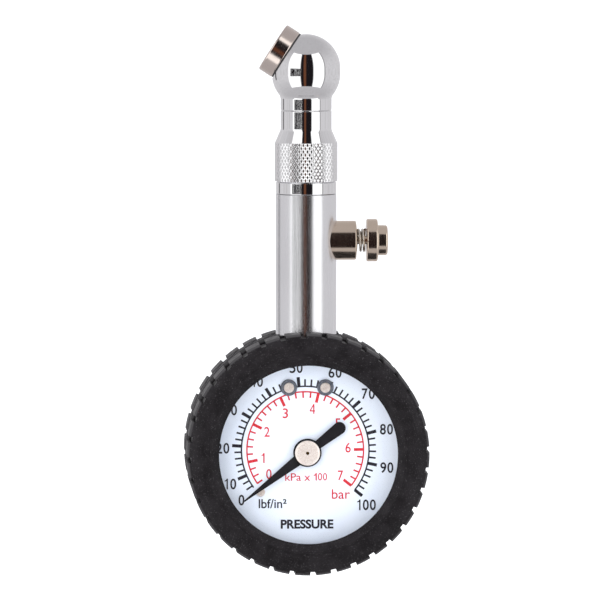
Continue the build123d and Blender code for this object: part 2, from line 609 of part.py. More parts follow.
def swivel_collar():
    """Collar screwed into the stem; the chuck head turns in its bore. The knurled band is its widest part."""
    lead = 0.2
    return turned((CLIP_R + 0.3, SPIGOT_BOTTOM), (SPIGOT_R, SPIGOT_BOTTOM), (SPIGOT_R, STEM_TOP + 0.08),
                  (COLLAR_FOOT_R - lead, STEM_TOP + 0.08), (COLLAR_FOOT_R, STEM_TOP + 0.08 + lead),
                  (COLLAR_FOOT_R, KNURL_BOTTOM), (KNURL_R - lead, KNURL_BOTTOM),
                  (KNURL_R, KNURL_BOTTOM + lead), (KNURL_R, KNURL_TOP - lead),
                  (NECK_R, CONE_TOP), (NECK_R, COLLAR_TOP - lead),
                  (NECK_R - lead, COLLAR_TOP), (STUB_R + GAP, COLLAR_TOP), (STUB_R + GAP, CLIP_SHOULDER),
                  (CLIP_R + 0.3, CLIP_SHOULDER))


def clip_level():
    return CLIP_SHOULDER - 0.1 - CLIP_THICKNESS


def chuck_head():
    """Ball on a neck, turned about the stem's axis, with a flat and a bore along the chuck's axis."""
    foot_drop = sqrt(BALL_R ** 2 - BALL_FOOT_R ** 2)
    middle = radians(-20)
    bottom = COLLAR_TOP + 0.1
    groove = 2 * ORING_R + 0.1
    groove_r = STUB_R - 2 * ORING_R
    clip_floor = CLIP_R - 1.1
    side = Polyline((0, BALL_Z + BALL_R), (0, STUB_BOTTOM), (STUB_R - 0.3, STUB_BOTTOM),
                    (STUB_R, STUB_BOTTOM + 0.3), (STUB_R, clip_level()), (clip_floor, clip_level()),
                    (clip_floor, clip_level() + CLIP_THICKNESS), (STUB_R, clip_level() + CLIP_THICKNESS),
                    (STUB_R, ORING_Z - groove / 2), (groove_r, ORING_Z - groove / 2),
                    (groove_r, ORING_Z + groove / 2), (STUB_R, ORING_Z + groove / 2),
                    (STUB_R, bottom), (NECK_R - 0.2, bottom), (NECK_R, bottom + 0.2), (NECK_R, NECK_TOP),
                    (BALL_FOOT_R, LOWER_BALL_Z - foot_drop))
    lower = ThreePointArc((BALL_FOOT_R, LOWER_BALL_Z - foot_drop),
                          (BALL_R * cos(middle), LOWER_BALL_Z + BALL_R * sin(middle)), (BALL_R, LOWER_BALL_Z))
    band = Line((BALL_R, LOWER_BALL_Z), (BALL_R, BALL_Z))
    upper = ThreePointArc((BALL_R, BALL_Z), (BALL_R * cos(-2 * middle), BALL_Z + BALL_R * sin(-2 * middle)),
                          (0, BALL_Z + BALL_R))
    body = revolve(Plane.XZ * make_face(Curve() + [side, lower, band, upper]), Axis.Z)
    body -= aimed(rod(2 * BALL_R, FLAT_S, 3 * BALL_R) + rod(CHUCK_BORE_R, CHUCK_FLOOR, FLAT_S))
    return body - rod(PASSAGE_R, STUB_BOTTOM - 1, BALL_Z + 1.5)


def swivel_oring():
    return revolve(Plane.XZ * (Pos(STUB_R - ORING_R, ORING_Z) * Circle(ORING_R)), Axis.Z)


def swivel_clip():
    """Spring clip in the stub's groove, open on one side, that stops the head pulling out."""
    ring = tube(CLIP_R - 1.1, CLIP_R, clip_level(), clip_level() + CLIP_THICKNESS)
    return ring - Pos(0, -CLIP_R, clip_level()) * Box(2.2, CLIP_R, 3)


def chuck_insert():
    """Plated nut that takes the tyre valve: a disc on the ball's flat and a threaded spigot in the ball."""
    edge = 0.25
    return aimed(turned((SEAL_R, CHUCK_FLOOR + 0.1), (INSERT_SPIGOT_R, CHUCK_FLOOR + 0.1),
                        (INSERT_SPIGOT_R, INSERT_START), (INSERT_R - 0.15, INSERT_START),
                        (INSERT_R, INSERT_START + 0.15), (INSERT_R, INSERT_END - edge),
                        (INSERT_R - edge, INSERT_END), (VALVE_BORE_R, INSERT_END),
                        (VALVE_BORE_R, VALVE_BORE_FLOOR), (SEAL_R, VALVE_BORE_FLOOR)))


def chuck_seal():
    return aimed(tube(SEAL_HOLE_R, SEAL_R, SEAL_BOTTOM, SEAL_TOP))


def core_depressor():
    """Pin that opens the tyre valve's core, on a drilled disc that backs the seal."""
    disc = slab(Circle(SEAL_R) - [Rot(0, 0, a) * Pos(2.2, 0) * Circle(0.6) for a in range(0, 360, 90)],
                CHUCK_FLOOR + 0.2, SEAL_BOTTOM)
    return aimed(disc + rod(DEPRESSOR_R, SEAL_BOTTOM, DEPRESSOR_TOP))


PARTS = {
    "rubber_boot": rubber_boot,
    "gauge_case": gauge_case,
    "bezel_ring": bezel_ring,
    "lens": lens,
    "lens_gasket": lens_gasket,
    "dial_plate": dial_plate,
    "dial_screws": dial_screws,
    "dial_grommets": dial_grommets,
    "dial_rivet": dial_rivet,
    "pointer": pointer,
    "pointer_hub": pointer_hub,
    "pinion_arbor": pinion_arbor,
    "hairspring": hairspring,
    "hairspring_collet": hairspring_collet,
    "hairspring_stud": hairspring_stud,
    "sector_gear": sector_gear,
    "sector_arbor": sector_arbor,
    "link_bar": link_bar,
    "link_pins": link_pins,
    "bourdon_tube": bourdon_tube,
    "bourdon_tip_cap": bourdon_tip_cap,
    "movement_front_plate": movement_front_plate,
    "movement_back_plate": movement_back_plate,
    "movement_pillars": movement_pillars,
    "movement_screws": movement_screws,
    "socket_block": socket_block,
    "stem_washer": stem_washer,
    "stem_tube": stem_tube,
    "bleed_valve_body": bleed_valve_body,
    "bleed_plunger": bleed_plunger,
    "bleed_poppet_seal": poppet_seal,
    "bleed_button": bleed_button,
    "bleed_spring": bleed_spring,
    "swivel_collar": swivel_collar,
    "swivel_oring": swivel_oring,
    "swivel_clip": swivel_clip,
    "chuck_head": chuck_head,
    "chuck_insert": chuck_insert,
    "chuck_seal": chuck_seal,
    "core_depressor": core_depressor,
}

if __name__ == "__main__":
    os.makedirs(OUT, exist_ok=True)
    for node, build in PARTS.items():
        save(node, build())
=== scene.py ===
"""Looks for a dial tyre-pressure gauge with a swivelling ball chuck, a bleed valve and a tyre-shaped boot.

Lengths are in millimetres here and are scaled to metres as each mesh is made. The stem runs up +Z, the dial
faces -Y and the bleed button points along +X. Turned pieces are profiles of (radius, height) corners, spun
about a local +Z that one of the placing matrices below puts in the gauge.
"""

import math

import bpy
import numpy as np
from mathutils import Matrix, Vector

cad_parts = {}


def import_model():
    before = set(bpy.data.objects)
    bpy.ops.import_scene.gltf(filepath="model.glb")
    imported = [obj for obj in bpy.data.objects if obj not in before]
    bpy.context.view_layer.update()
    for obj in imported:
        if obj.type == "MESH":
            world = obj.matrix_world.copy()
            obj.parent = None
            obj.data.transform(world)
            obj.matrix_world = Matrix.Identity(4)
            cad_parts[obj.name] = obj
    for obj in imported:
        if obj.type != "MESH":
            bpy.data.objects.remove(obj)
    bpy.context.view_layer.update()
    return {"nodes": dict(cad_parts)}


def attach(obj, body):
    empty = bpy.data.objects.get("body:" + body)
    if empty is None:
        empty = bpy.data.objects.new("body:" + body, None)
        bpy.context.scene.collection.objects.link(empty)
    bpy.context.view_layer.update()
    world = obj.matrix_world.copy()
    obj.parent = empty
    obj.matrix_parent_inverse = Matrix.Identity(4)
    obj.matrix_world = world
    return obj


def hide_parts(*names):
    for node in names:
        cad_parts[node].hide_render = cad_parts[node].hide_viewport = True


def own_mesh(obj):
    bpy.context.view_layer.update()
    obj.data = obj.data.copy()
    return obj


MM = 0.001
HOLD = 0.08                         # from a fillet to the point that holds the flat beside it

# Boot
BOOT_R = 29.85
BOOT_HALF = 15.0
LIP_R, LIP_INNER = 22.0, 12.75
LIP_EDGE_R = 24.0
BACK_LIP_R, BACK_LIP_INNER = 20.0, 13.05
BLOCKS = 36
BLOCK_PHASE = math.radians(2.3)     # first slot past the top
SLOT_W, SLOT_DEPTH = 1.45, 1.0
GROOVE_IN, GROOVE_OUT, GROOVE_DEPTH = 3.0, 4.8, 1.0
CENTRE_SLOT_W = 1.2
CENTRE_SLANT = 0.53                 # run of the centre row's slots round the boot for each millimetre across
SIPES_PER_BLOCK, SIPE_DEPTH = 6, 0.28
STEM_HOLE_R = 7.6

# Stem, collar and bleed valve
STEM_R, STEM_BOTTOM, STEM_TOP = 7.5, 25.9, 63.5
KNURL_R, KNURL_BOTTOM, KNURL_TOP = 7.75, 66.5, 76.3
KNURL_COLUMNS, KNURL_DEPTH = 46, 0.12
KNURL_GROOVE = 0.36                 # groove's share of a diamond's width
KNURL_LEAN = 0.67                   # diamond's width over its height
COLLAR_FOOT_R, COLLAR_FOOT = 7.45, 63.58
CONE_TOP, NECK_R, COLLAR_TOP = 79.4, 6.3, 84.1
SPIGOT_R, SPIGOT_BOTTOM = 5.2, 56.2
CLIP_SHOULDER = 70.0
NIPPLE_R, NIPPLE_TOP = 4.8, 34.0
AIR_HOLE_R = 2.2
CHAMBER_R, CHAMBER_BOTTOM = 4.6, 46.0
VALVE_Z = 52.0
VALVE_R, VALVE_SPIGOT_R, VALVE_BORE = 4.85, 3.25, 1.05
VALVE_START, VALVE_SEAT, VALVE_END = 3.0, 5.6, 12.35
FLANGE_R, FLANGE_END = 5.27, 17.65
KNOB_R, KNOB_END = 3.75, 20.1
PLUNGER_R, POPPET_R = 1.0, 2.4
POPPET_START, POPPET_END = 0.4, 1.5
SPRING_MEAN_R, SPRING_WIRE_R = 2.62, 0.32
SPRING_FOOT, SPRING_HEAD = 10.35, 14.9
SPRING_POCKET_R = 3.05
SPRING_PITCH = 1.0

# Chuck
BALL_R, BALL_Z, LOWER_BALL_Z = 8.45, 94.5, 93.2
BALL_FOOT_R, NECK_TOP = 6.6, 87.1
CHUCK_TILT, CHUCK_SWING = math.radians(57.0), math.radians(5.4)
FLAT_S = 5.6                        # from the ball's centre along the chuck's axis, as are the levels below
STUB_R, STUB_BOTTOM = 3.5, 67.6
INSERT_R, INSERT_START, INSERT_END = 6.45, 5.95, 9.8
INSERT_THREAD_R, MOUTH_R, SEAL_SEAT = 4.95, 4.15, 5.2
SEAL_R, SEAL_HOLE_R = 3.88, 1.7
SEAL_START, SEAL_END = 2.6, 5.1

# Case and lens
CASE_R, CASE_WALL = 24.95, 0.55
CASE_BACK, CASE_RIM, CASE_STEP = -12.95, 9.95, 0.5
CASE_STEP_R = 17.0
LENS_R, LENS_BACK, LENS_FRONT = 24.9, 10.8, 12.3
OPENING_R = 22.8
BEZEL_R, BEZEL_WALL, BEZEL_SKIRT = 25.6, 0.45, 6.0

# Dial
DIAL_FACE = 5.4
SCREW_X, SCREW_Y = 4.5, 16.0
SCREW_HEAD_R, SCREW_HEAD, SCREW_SHANK_R = 1.26, 1.0, 0.9
GROMMET_R, GROMMET_HEIGHT = 2.03, 0.6
RIVET_R, RIVET_HEAD, RIVET_SHANK_R = 1.13, 0.5, 0.6
RIVET_AT_R, RIVET_ANGLE = 15.1, 220.6
PRINT_LIFT, PRINT_STEP = 0.02, 0.0006
PRINT_SHIFT = (-0.45, 0.55)         # the print sits a little off the pointer's axis
PSI_RING_R, PSI_ZERO, PSI_STEP = 15.75, 230.23, -2.693      # degrees at 0 and for each unit
BAR_RING_R, BAR_ZERO, BAR_STEP = 14.4, 230.1, -38.3
BAR_FIGURES_R, BAR_FIGURES_DROP = 10.6, 0.3
POINTER_LEVEL, POINTER_THICKNESS = 7.0, 0.4
POINTER_ANGLE = 217.5
POINTER_LENGTH, POINTER_TIP_W, POINTER_ROOT_W = 19.7, 0.3, 2.66
TAIL_LENGTH, TAIL_ROOT_W, TAIL_END_W = 11.5, 2.2, 3.1
POINTER_BOSS_R = 3.5
HUB_R, HUB_HOLE_R, HUB_TOP = 3.06, 0.42, 8.6

# Tent round the gauge: colours, bearings in half turns from the dial's front, and heights as sines. The
# window holds a dark gap with a brown post in it, a dark frame and a speckled table.
TENT_SIDE, TENT_ROOF, TENT_CREASE = (0.76, 0.75, 0.77), (0.55, 0.54, 0.56), (0.4, 0.38, 0.38)
WINDOW, DARK, BROWN = (1.4, 1.4, 1.4), (0.012, 0.01, 0.012), (0.16, 0.06, 0.03)
SKY = (0.9, 0.92, 0.96)
WINDOW_SIDES, WINDOW_HEIGHTS = (-0.36, 0.36), (-0.66, 0.76)
GAP_SIDES = (-0.12, 0.125)
POST_SIDES = (-0.06, -0.015)
FRAME_SIDES = (0.345, 0.375)
TABLE_SIDES, TABLE_HEIGHTS = (-0.32, -0.11), (-0.12, 0.02)
SEAM_SIDES, SEAM_HEIGHTS = (-0.73, -0.69), (-0.2, 0.1)

# Placing matrices, from a piece's own millimetres to the gauge's
STANDING = Matrix.Identity(4)
UPRIGHT = Matrix.Rotation(math.radians(90), 4, "X")
SIDEWAYS = Matrix.Translation((0, 0, VALVE_Z)) @ Matrix.Rotation(math.radians(90), 4, "Y")
TILTED = Matrix.Rotation(-CHUCK_SWING, 4, "Z") @ Matrix.Rotation(-CHUCK_TILT, 4, "Y")
AIMED = Matrix.Translation((0, 0, BALL_Z)) @ TILTED


# ---------------------------------------------------------------- mesh helpers

def piece(name, points, faces, placing, body, material, replaces=(), sharp=32):
    """A mesh object from millimetre points, riding on a body and standing for the named CAD nodes."""
    mesh = bpy.data.meshes.new(name)
    mesh.from_pydata([(placing @ Vector(p)) * MM for p in points], [], faces)
    mesh.validate()
    mesh.shade_smooth()
    mesh.set_sharp_from_angle(angle=math.radians(sharp))
    mesh.materials.append(material)
    made = bpy.data.objects.new(name, mesh)
    bpy.context.collection.objects.link(made)
    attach(made, body)
    if replaces:
        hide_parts(*replaces)
    return made


def rounded(corners, steps=5):
    """Profile through (radius, height) corners; a third number rounds that corner to a fillet of that radius.

    A point just before and after each fillet keeps the runs between fillets shading flat.
    """
    profile = []
    count = len(corners)
    for k, corner in enumerate(corners):
        here = Vector(corner[:2])
        if len(corner) == 2:
            profile.append(tuple(here))
            continue
        to_last = Vector(corners[k - 1][:2]) - here
        to_next = Vector(corners[(k + 1) % count][:2]) - here
        back, ahead = to_last.normalized(), to_next.normalized()
        half = back.angle(ahead) / 2
        reach = corner[2] / math.tan(half)
        centre = here + (back + ahead).normalized() * corner[2] / math.sin(half)
        start, end = here + back * reach, here + ahead * reach
        if to_last.length > 2 * reach + 3 * HOLD:
            profile.append(tuple(start + back * HOLD))
        for step in range(steps + 1):
            spoke = (start - centre).lerp(end - centre, step / steps).normalized()
            profile.append(tuple(centre + spoke * corner[2]))
        if to_next.length > 2 * reach + 3 * HOLD:
            profile.append(tuple(end + ahead * HOLD))
    return profile


def divided(profile, step, least_radius):
    """The same closed profile with its long runs divided where they lie outside a radius."""
    made = []
    for (r0, h0), (r1, h1) in zip(profile, profile[1:] + profile[:1]):
        outside = min(r0, r1) > least_radius
        parts = max(1, math.ceil(math.hypot(r1 - r0, h1 - h0) / step)) if outside else 1
        made += [(r0 + (r1 - r0) * k / parts, h0 + (h1 - h0) * k / parts) for k in range(parts)]
    return made


def spun(profile, angles=192, limit=None):
    """Points and faces of a closed profile turned about local Z.

    A number of angles is shared out evenly, and limit(angle, height) holds the radius down.
    """
    turns = angles if isinstance(angles, list) else [2 * math.pi * k / angles for k in range(angles)]
    points, rings = [], []
    for r, h in profile:
        if r < 1e-6:
            rings.append([len(points)] * len(turns))
            points.append((0, 0, h))
            continue
        rings.append(list(range(len(points), len(points) + len(turns))))
        for turn in turns:
            radius = min(r, limit(turn, h)) if limit else r
            points.append((radius * math.cos(turn), radius * math.sin(turn), h))
    faces = []
    for low, high in zip(rings, rings[1:] + rings[:1]):
        if low[0] == low[1] and high[0] == high[1]:
            continue
        for k in range(len(turns)):
            n = (k + 1) % len(turns)
            corners = [low[k], low[n], high[n], high[k]]
            faces.append(list(dict.fromkeys(corners)))
    return points, faces


def turned(name, corners, placing, body, material, replaces=(), angles=192):
    """A turned piece from the corners of its profile."""
    points, faces = spun(rounded(corners), angles)
    made = piece(name, points, faces, placing, body, material, replaces)
    keep_faces_flat(made)
    return made


def keep_faces_flat(made):
    """Shades wide faces flat and lets the narrow ones beside them bend."""
    weighted = made.modifiers.new("even shading", "WEIGHTED_NORMAL")
    weighted.keep_sharp = True


def cut_away(made, points, faces, placing):
    """Takes a closed shape out of a piece."""
    mesh = bpy.data.meshes.new("cutter")
    mesh.from_pydata([(placing @ Vector(p)) * MM for p in points], [], faces)
    cutter = bpy.data.objects.new("cutter", mesh)
    bpy.context.collection.objects.link(cutter)
    cut = made.modifiers.new("cut", "BOOLEAN")
    cut.object = cutter
    cut.solver = "EXACT"
    bpy.context.view_layer.update()
    cut_mesh = bpy.data.meshes.new_from_object(made.evaluated_get(bpy.context.evaluated_depsgraph_get()))
    made.modifiers.clear()
    made.data = cut_mesh
    bpy.data.objects.remove(cutter)


def box_shape(low, high):
    """Points and faces of a box between two corners."""
    (x0, y0, z0), (x1, y1, z1) = low, high
    points = [(x, y, z) for x in (x0, x1) for y in (y0, y1) for z in (z0, z1)]
    faces = [(0, 1, 3, 2), (4, 6, 7, 5), (0, 4, 5, 1), (2, 3, 7, 6), (0, 2, 6, 4), (1, 5, 7, 3)]
    return points, faces


def polar(radius, angle):
    """A spot from its radius and its angle in degrees."""
    return radius * math.cos(math.radians(angle)), radius * math.sin(math.radians(angle))


# ---------------------------------------------------------------- materials

def finish(name, colour, **sockets):
    """A Principled material with the named sockets set."""
    made = bpy.data.materials.new(name)
    made.use_nodes = True
    shader = made.node_tree.nodes["Principled BSDF"]
    shader.inputs["Base Color"].default_value = (*colour, 1)
    for socket, value in sockets.items():
        shader.inputs[socket.replace("_", " ")].default_value = value
    return made


def node(made, kind, **settings):
    """Adds a node to a material, with its sockets or its own settings set by name."""
    added = made.node_tree.nodes.new(kind)
    for key, value in settings.items():
        if key in added.inputs:
            added.inputs[key].default_value = value
        else:
            setattr(added, key, value)
    return added


def noise(made, scale, stretch=(1, 1, 1), detail=3.0, turn=(0, 0, 0)):
    """Noise in the gauge's own metres, drawn out along one direction by stretch; returns its value socket."""
    place = node(made, "ShaderNodeTexCoord")
    mapping = node(made, "ShaderNodeMapping", Scale=stretch, Rotation=turn)
    texture = node(made, "ShaderNodeTexNoise", Scale=scale, Detail=detail)
    made.node_tree.links.new(place.outputs["Object"], mapping.inputs["Vector"])
    made.node_tree.links.new(mapping.outputs["Vector"], texture.inputs["Vector"])
    return texture.outputs["Fac"]


def spread(made, value, low, high, socket):
    """Carries a noise value, spread between two levels or two colours, into a shader socket."""
    shader = made.node_tree.nodes["Principled BSDF"]
    scale = node(made, "ShaderNodeValToRGB")
    pair = (low, high) if isinstance(low, tuple) else ((low,) * 3, (high,) * 3)
    for element, position, colour in zip(scale.color_ramp.elements, (0.35, 0.68), pair):
        element.position = position
        element.color = (*colour, 1)
    made.node_tree.links.new(value, scale.inputs["Fac"])
    made.node_tree.links.new(scale.outputs["Color"], shader.inputs[socket])


def mix_colours(made, value, levels, first, second):
    """A colour that goes from the first to the second as a noise value rises between two levels."""
    share = node(made, "ShaderNodeMapRange")
    share.inputs["From Min"].default_value, share.inputs["From Max"].default_value = levels
    blend = node(made, "ShaderNodeMix", data_type="RGBA")
    made.node_tree.links.new(value, share.inputs["Value"])
    made.node_tree.links.new(share.outputs["Result"], blend.inputs["Factor"])
    for name, colour in (("A", first), ("B", second)):
        if isinstance(colour, tuple):
            blend.inputs[name].default_value = (*colour, 1)
        else:
            made.node_tree.links.new(colour, blend.inputs[name])
    return blend.outputs["Result"]


def relief(made, value, depth, strength=1.0):
    """Bumps the surface by a noise value, with its full depth in millimetres."""
    shader = made.node_tree.nodes["Principled BSDF"]
    bump = node(made, "ShaderNodeBump", Strength=strength, Distance=depth * MM)
    made.node_tree.links.new(value, bump.inputs["Height"])
    made.node_tree.links.new(bump.outputs["Normal"], shader.inputs["Normal"])


def machined(name, colour, roughness, axis_scale, turn=(0, 0, 0), line_depth=0.0006, stain=0.94):
    """Turned metal: fine rings round the work's axis, slightly uneven gloss and a faint tarnish."""
    made = finish(name, colour, Metallic=1.0, Roughness=roughness)
    rings = noise(made, 900, axis_scale, 4.0, turn)
    relief(made, rings, line_depth)
    spread(made, noise(made, 400, axis_scale, 4.0, turn), roughness * 0.88, roughness * 1.15, "Roughness")
    spread(made, noise(made, 60, detail=1.0), tuple(c * stain for c in colour), colour, "Base Color")
    return made


def radius_round_dial(made):
    """Distance from the dial's axis, in metres."""
    place = node(made, "ShaderNodeTexCoord")
    flattened = node(made, "ShaderNodeVectorMath", operation="MULTIPLY")
    flattened.inputs[1].default_value = (1, 0, 1)
    length = node(made, "ShaderNodeVectorMath", operation="LENGTH")
    made.node_tree.links.new(place.outputs["Object"], flattened.inputs[0])
    made.node_tree.links.new(flattened.outputs["Vector"], length.inputs[0])
    return length.outputs["Value"]


def boot_rubber():
    """Moulded rubber: mould grain, cloudy bloom, dust caught in the grain and the tread's outside painted
    lighter as a painted highlight.
    """
    made = finish("boot rubber", (0.018, 0.016, 0.018), Roughness=0.5, Specular_IOR_Level=0.16)
    clean, cloudy = (0.006, 0.005, 0.006), (0.011, 0.0095, 0.011)
    dust, edge_highlight = (0.05, 0.046, 0.05), (0.042, 0.04, 0.042)
    bloom = mix_colours(made, noise(made, 260, detail=6.0), (0.4, 0.62), clean, cloudy)
    dusted = mix_colours(made, noise(made, 3600, detail=2.0), (0.6, 0.74), bloom, dust)
    # Painted highlight: the rubber beyond 29.15 mm from the dial's axis is painted lighter, standing in for
    # light caught on the tread's edges.
    edge_lit = mix_colours(made, radius_round_dial(made), (0.02915, 0.0295), dusted, edge_highlight)
    made.node_tree.links.new(edge_lit, made.node_tree.nodes["Principled BSDF"].inputs["Base Color"])
    spread(made, noise(made, 700, detail=4.0), 0.4, 0.6, "Roughness")
    relief(made, noise(made, 2600, detail=5.0), 0.06, 0.6)
    return made


def seal_rubber():
    """Black rubber of the gasket and seals."""
    made = finish("seal rubber", (0.02, 0.02, 0.022), Roughness=0.55)
    spread(made, noise(made, 900), 0.45, 0.65, "Roughness")
    relief(made, noise(made, 4000), 0.02)
    return made


def grommet_grey():
    """Blue-grey rubber round the screws."""
    made = finish("grommet grey", (0.1, 0.11, 0.13), Roughness=0.45)
    spread(made, noise(made, 1500), (0.07, 0.08, 0.1), (0.13, 0.14, 0.17), "Base Color")
    return made


def dial_paint():
    """White with a blue cast and a faint orange peel."""
    made = finish("dial paint", (0.75, 0.81, 0.92), Roughness=0.42)
    spread(made, noise(made, 60), (0.735, 0.8, 0.915), (0.775, 0.83, 0.925), "Base Color")
    relief(made, noise(made, 5000), 0.006, 0.5)
    return made


def print_ink(name, colour):
    """Screen-printed ink, a little uneven."""
    made = finish(name, colour, Roughness=0.5)
    spread(made, noise(made, 3000), colour, tuple(min(1, c * 1.25 + 0.004) for c in colour), "Base Color")
    return made


def pointer_paint():
    """Dull black paint."""
    made = finish("pointer paint", (0.01, 0.009, 0.012), Roughness=0.5, Specular_IOR_Level=0.25)
    spread(made, noise(made, 2500), 0.42, 0.58, "Roughness")
    relief(made, noise(made, 5000), 0.008, 0.4)
    return made


def satin_steel():
    """Bead-blasted steel of the hub, screws and small fittings: warm, pale and speckled."""
    made = finish("satin steel", (0.8, 0.73, 0.67), Metallic=0.4, Roughness=0.32)
    dull, bright = (0.68, 0.58, 0.52), (0.9, 0.83, 0.78)
    speckled = mix_colours(made, noise(made, 6000, detail=4.0), (0.36, 0.64), dull, bright)
    made.node_tree.links.new(speckled, made.node_tree.nodes["Principled BSDF"].inputs["Base Color"])
    relief(made, noise(made, 2400, detail=3.0), 0.012, 0.6)
    return made


def lens_glass():
    """Clear glass that only adds its own reflection to what is behind it, and more of it at a slant."""
    made = finish("lens glass", (1, 1, 1), Metallic=1.0, Roughness=0.0)
    shader = made.node_tree.nodes["Principled BSDF"]
    slant = node(made, "ShaderNodeLayerWeight", Blend=0.1)
    made.node_tree.links.new(slant.outputs["Facing"], shader.inputs["Alpha"])
    return made


def painted_steel():
    """Satin black paint of the case."""
    made = finish("case paint", (0.02, 0.02, 0.022), Roughness=0.5)
    spread(made, noise(made, 500), 0.48, 0.58, "Roughness")
    relief(made, noise(made, 3000), 0.02, 0.5)
    return made


def stage_white():
    """Pale floor lit a little from within, like the sheet of a light tent."""
    made = finish("stage white", (0.9, 0.9, 0.9), Roughness=0.9, Emission_Color=(1, 1, 1, 1),
                  Emission_Strength=0.45)
    spread(made, noise(made, 8), (0.89, 0.89, 0.89), (0.91, 0.91, 0.91), "Base Color")
    return made


# ---------------------------------------------------------------- boot

def boot_profile():
    """Section through the boot, sampled finely along the tread and its shoulders."""
    front = [(25.75, LIP_INNER), (LIP_R, LIP_INNER, 0.15), (LIP_R, 13.75, 0.2),
             (LIP_EDGE_R - 0.35, 14.85, 0.3)]
    ridge = [(LIP_EDGE_R, BOOT_HALF, 0.1), (LIP_EDGE_R + 0.55, 14.55, 0.25)]
    wall = [(25.6, 14.75), (27.0, 14.66), (28.2, 14.38), (28.95, 14.05)]
    shoulder = [(29.35, 13.75), (BOOT_R - 0.05, 13.1, 0.12), (BOOT_R, 12.5)]
    back_shoulder = [(BOOT_R, -12.5), (BOOT_R - 0.05, -13.1, 0.12), (29.35, -13.75)]
    back_wall = [(28.95, -14.05), (28.2, -14.4), (27.0, -14.72), (25.6, -14.95), (LIP_EDGE_R, -BOOT_HALF)]
    back = [(BACK_LIP_R, -BOOT_HALF, 0.6), (BACK_LIP_R, -BACK_LIP_INNER, 0.15), (25.75, -BACK_LIP_INNER)]
    corners = front + ridge + wall + shoulder + back_shoulder + back_wall + back
    return divided(rounded(corners, 4), 0.25, BOOT_R - 1.2)


def tread_angles():
    """Turn angles: even steps within each block, and a close pair at each wall of the shoulder's slots."""
    pitch = 2 * math.pi / BLOCKS
    wall = SLOT_W / 2 / BOOT_R
    even = [pitch * (k / 26 - 0.5) for k in range(26)]
    near_walls = [side * wall + lean for side in (-1, 1) for lean in (-0.0012, 0.0012)]
    offsets = sorted(even + near_walls)
    first = math.pi / 2 + BLOCK_PHASE
    return [first + block * pitch + offset for block in range(BLOCKS) for offset in offsets]


def ramp(value, start, end):
    """Rises from 0 to 1 as a value goes from a start to an end."""
    return min(1.0, max(0.0, (value - start) / (end - start)))


def tread_limit(turn, height):
    """How far out the rubber reaches: down in the slots, the two grooves and the centre row's sipes."""
    pitch = 2 * math.pi / BLOCKS
    beside = ((turn - math.pi / 2 - BLOCK_PHASE + pitch / 2) % pitch - pitch / 2) * BOOT_R
    across = abs(height)
    if across >= GROOVE_OUT:
        inside = SLOT_W / 2 - abs(beside)
        return BOOT_R - SLOT_DEPTH * ramp(inside, -0.03, 0.03)
    if across >= GROOVE_IN:
        return BOOT_R - GROOVE_DEPTH * min(ramp(across, GROOVE_IN, GROOVE_IN + 0.15),
                                           ramp(-across, -GROOVE_OUT, -GROOVE_OUT + 0.15))
    slanted = turn * BOOT_R - height * CENTRE_SLANT
    along = ((slanted - (math.pi / 2 + BLOCK_PHASE) * BOOT_R) / (pitch * BOOT_R)) % 1.0
    inside = CENTRE_SLOT_W / 2 - abs(along - 0.5) * pitch * BOOT_R
    sipe = abs((along * SIPES_PER_BLOCK) % 1.0 - 0.5) * 2
    return BOOT_R - max(GROOVE_DEPTH * ramp(inside, -0.06, 0.06), SIPE_DEPTH * ramp(sipe, 0.45, 0.95))


def rubber_boot(material):
    """Tyre-shaped boot with a hole for the stem."""
    points, faces = spun(boot_profile(), tread_angles(), tread_limit)
    made = piece("boot", points, faces, UPRIGHT, "gauge_body", material, ["rubber_boot"], 40)
    hole = [(0, 20), (STEM_HOLE_R, 20), (STEM_HOLE_R, 40), (0, 40)]
    cut_away(made, *spun(hole, 96), STANDING)
    made.data.shade_smooth()
    made.data.set_sharp_from_angle(angle=math.radians(40))


# ---------------------------------------------------------------- case and dial

def case_and_glass(paint, steel, rubber, glass):
    """Stepped cup, the rolled ring round its mouth, and the gasket and glass that the ring holds."""
    inner, floor = CASE_R - CASE_WALL, CASE_BACK + 0.6
    turned("case", [(0, CASE_BACK + CASE_STEP), (CASE_STEP_R, CASE_BACK + CASE_STEP, 0.2),
                    (CASE_STEP_R + CASE_STEP, CASE_BACK, 0.2), (CASE_R, CASE_BACK, 0.7),
                    (CASE_R, CASE_RIM, 0.1), (inner, CASE_RIM, 0.1), (inner, floor, 0.4),
                    (0, floor + CASE_STEP)],
           UPRIGHT, "gauge_body", paint, ["gauge_case"])
    skirt_r, front = BEZEL_R - BEZEL_WALL, LENS_FRONT + 0.4
    turned("bezel", [(OPENING_R, LENS_FRONT), (skirt_r, LENS_FRONT), (skirt_r, BEZEL_SKIRT),
                     (BEZEL_R, BEZEL_SKIRT, 0.1), (BEZEL_R, front, 0.3), (OPENING_R, front, 0.15)],
           UPRIGHT, "gauge_body", steel, ["bezel_ring"])
    gasket_back = LENS_BACK - 0.8
    turned("gasket", [(OPENING_R, gasket_back, 0.1), (LENS_R, gasket_back), (LENS_R, LENS_BACK),
                      (OPENING_R, LENS_BACK, 0.1)],
           UPRIGHT, "gauge_body", rubber, ["lens_gasket"])
    turned("lens_glass", [(0, LENS_BACK), (LENS_R, LENS_BACK), (LENS_R, LENS_FRONT, 0.3), (0, LENS_FRONT)],
           UPRIGHT, "gauge_body", glass, ["lens"])


def arc_strip(radius, width, start, end):
    """A printed line along an arc, as points and faces."""
    steps = max(2, round(abs(end - start) / 1.5))
    points = []
    for k in range(steps + 1):
        angle = start + (end - start) * k / steps
        points += [(*polar(radius - width / 2, angle), 0), (*polar(radius + width / 2, angle), 0)]
    return points, [(2 * k, 2 * k + 1, 2 * k + 3, 2 * k + 2) for k in range(steps)]


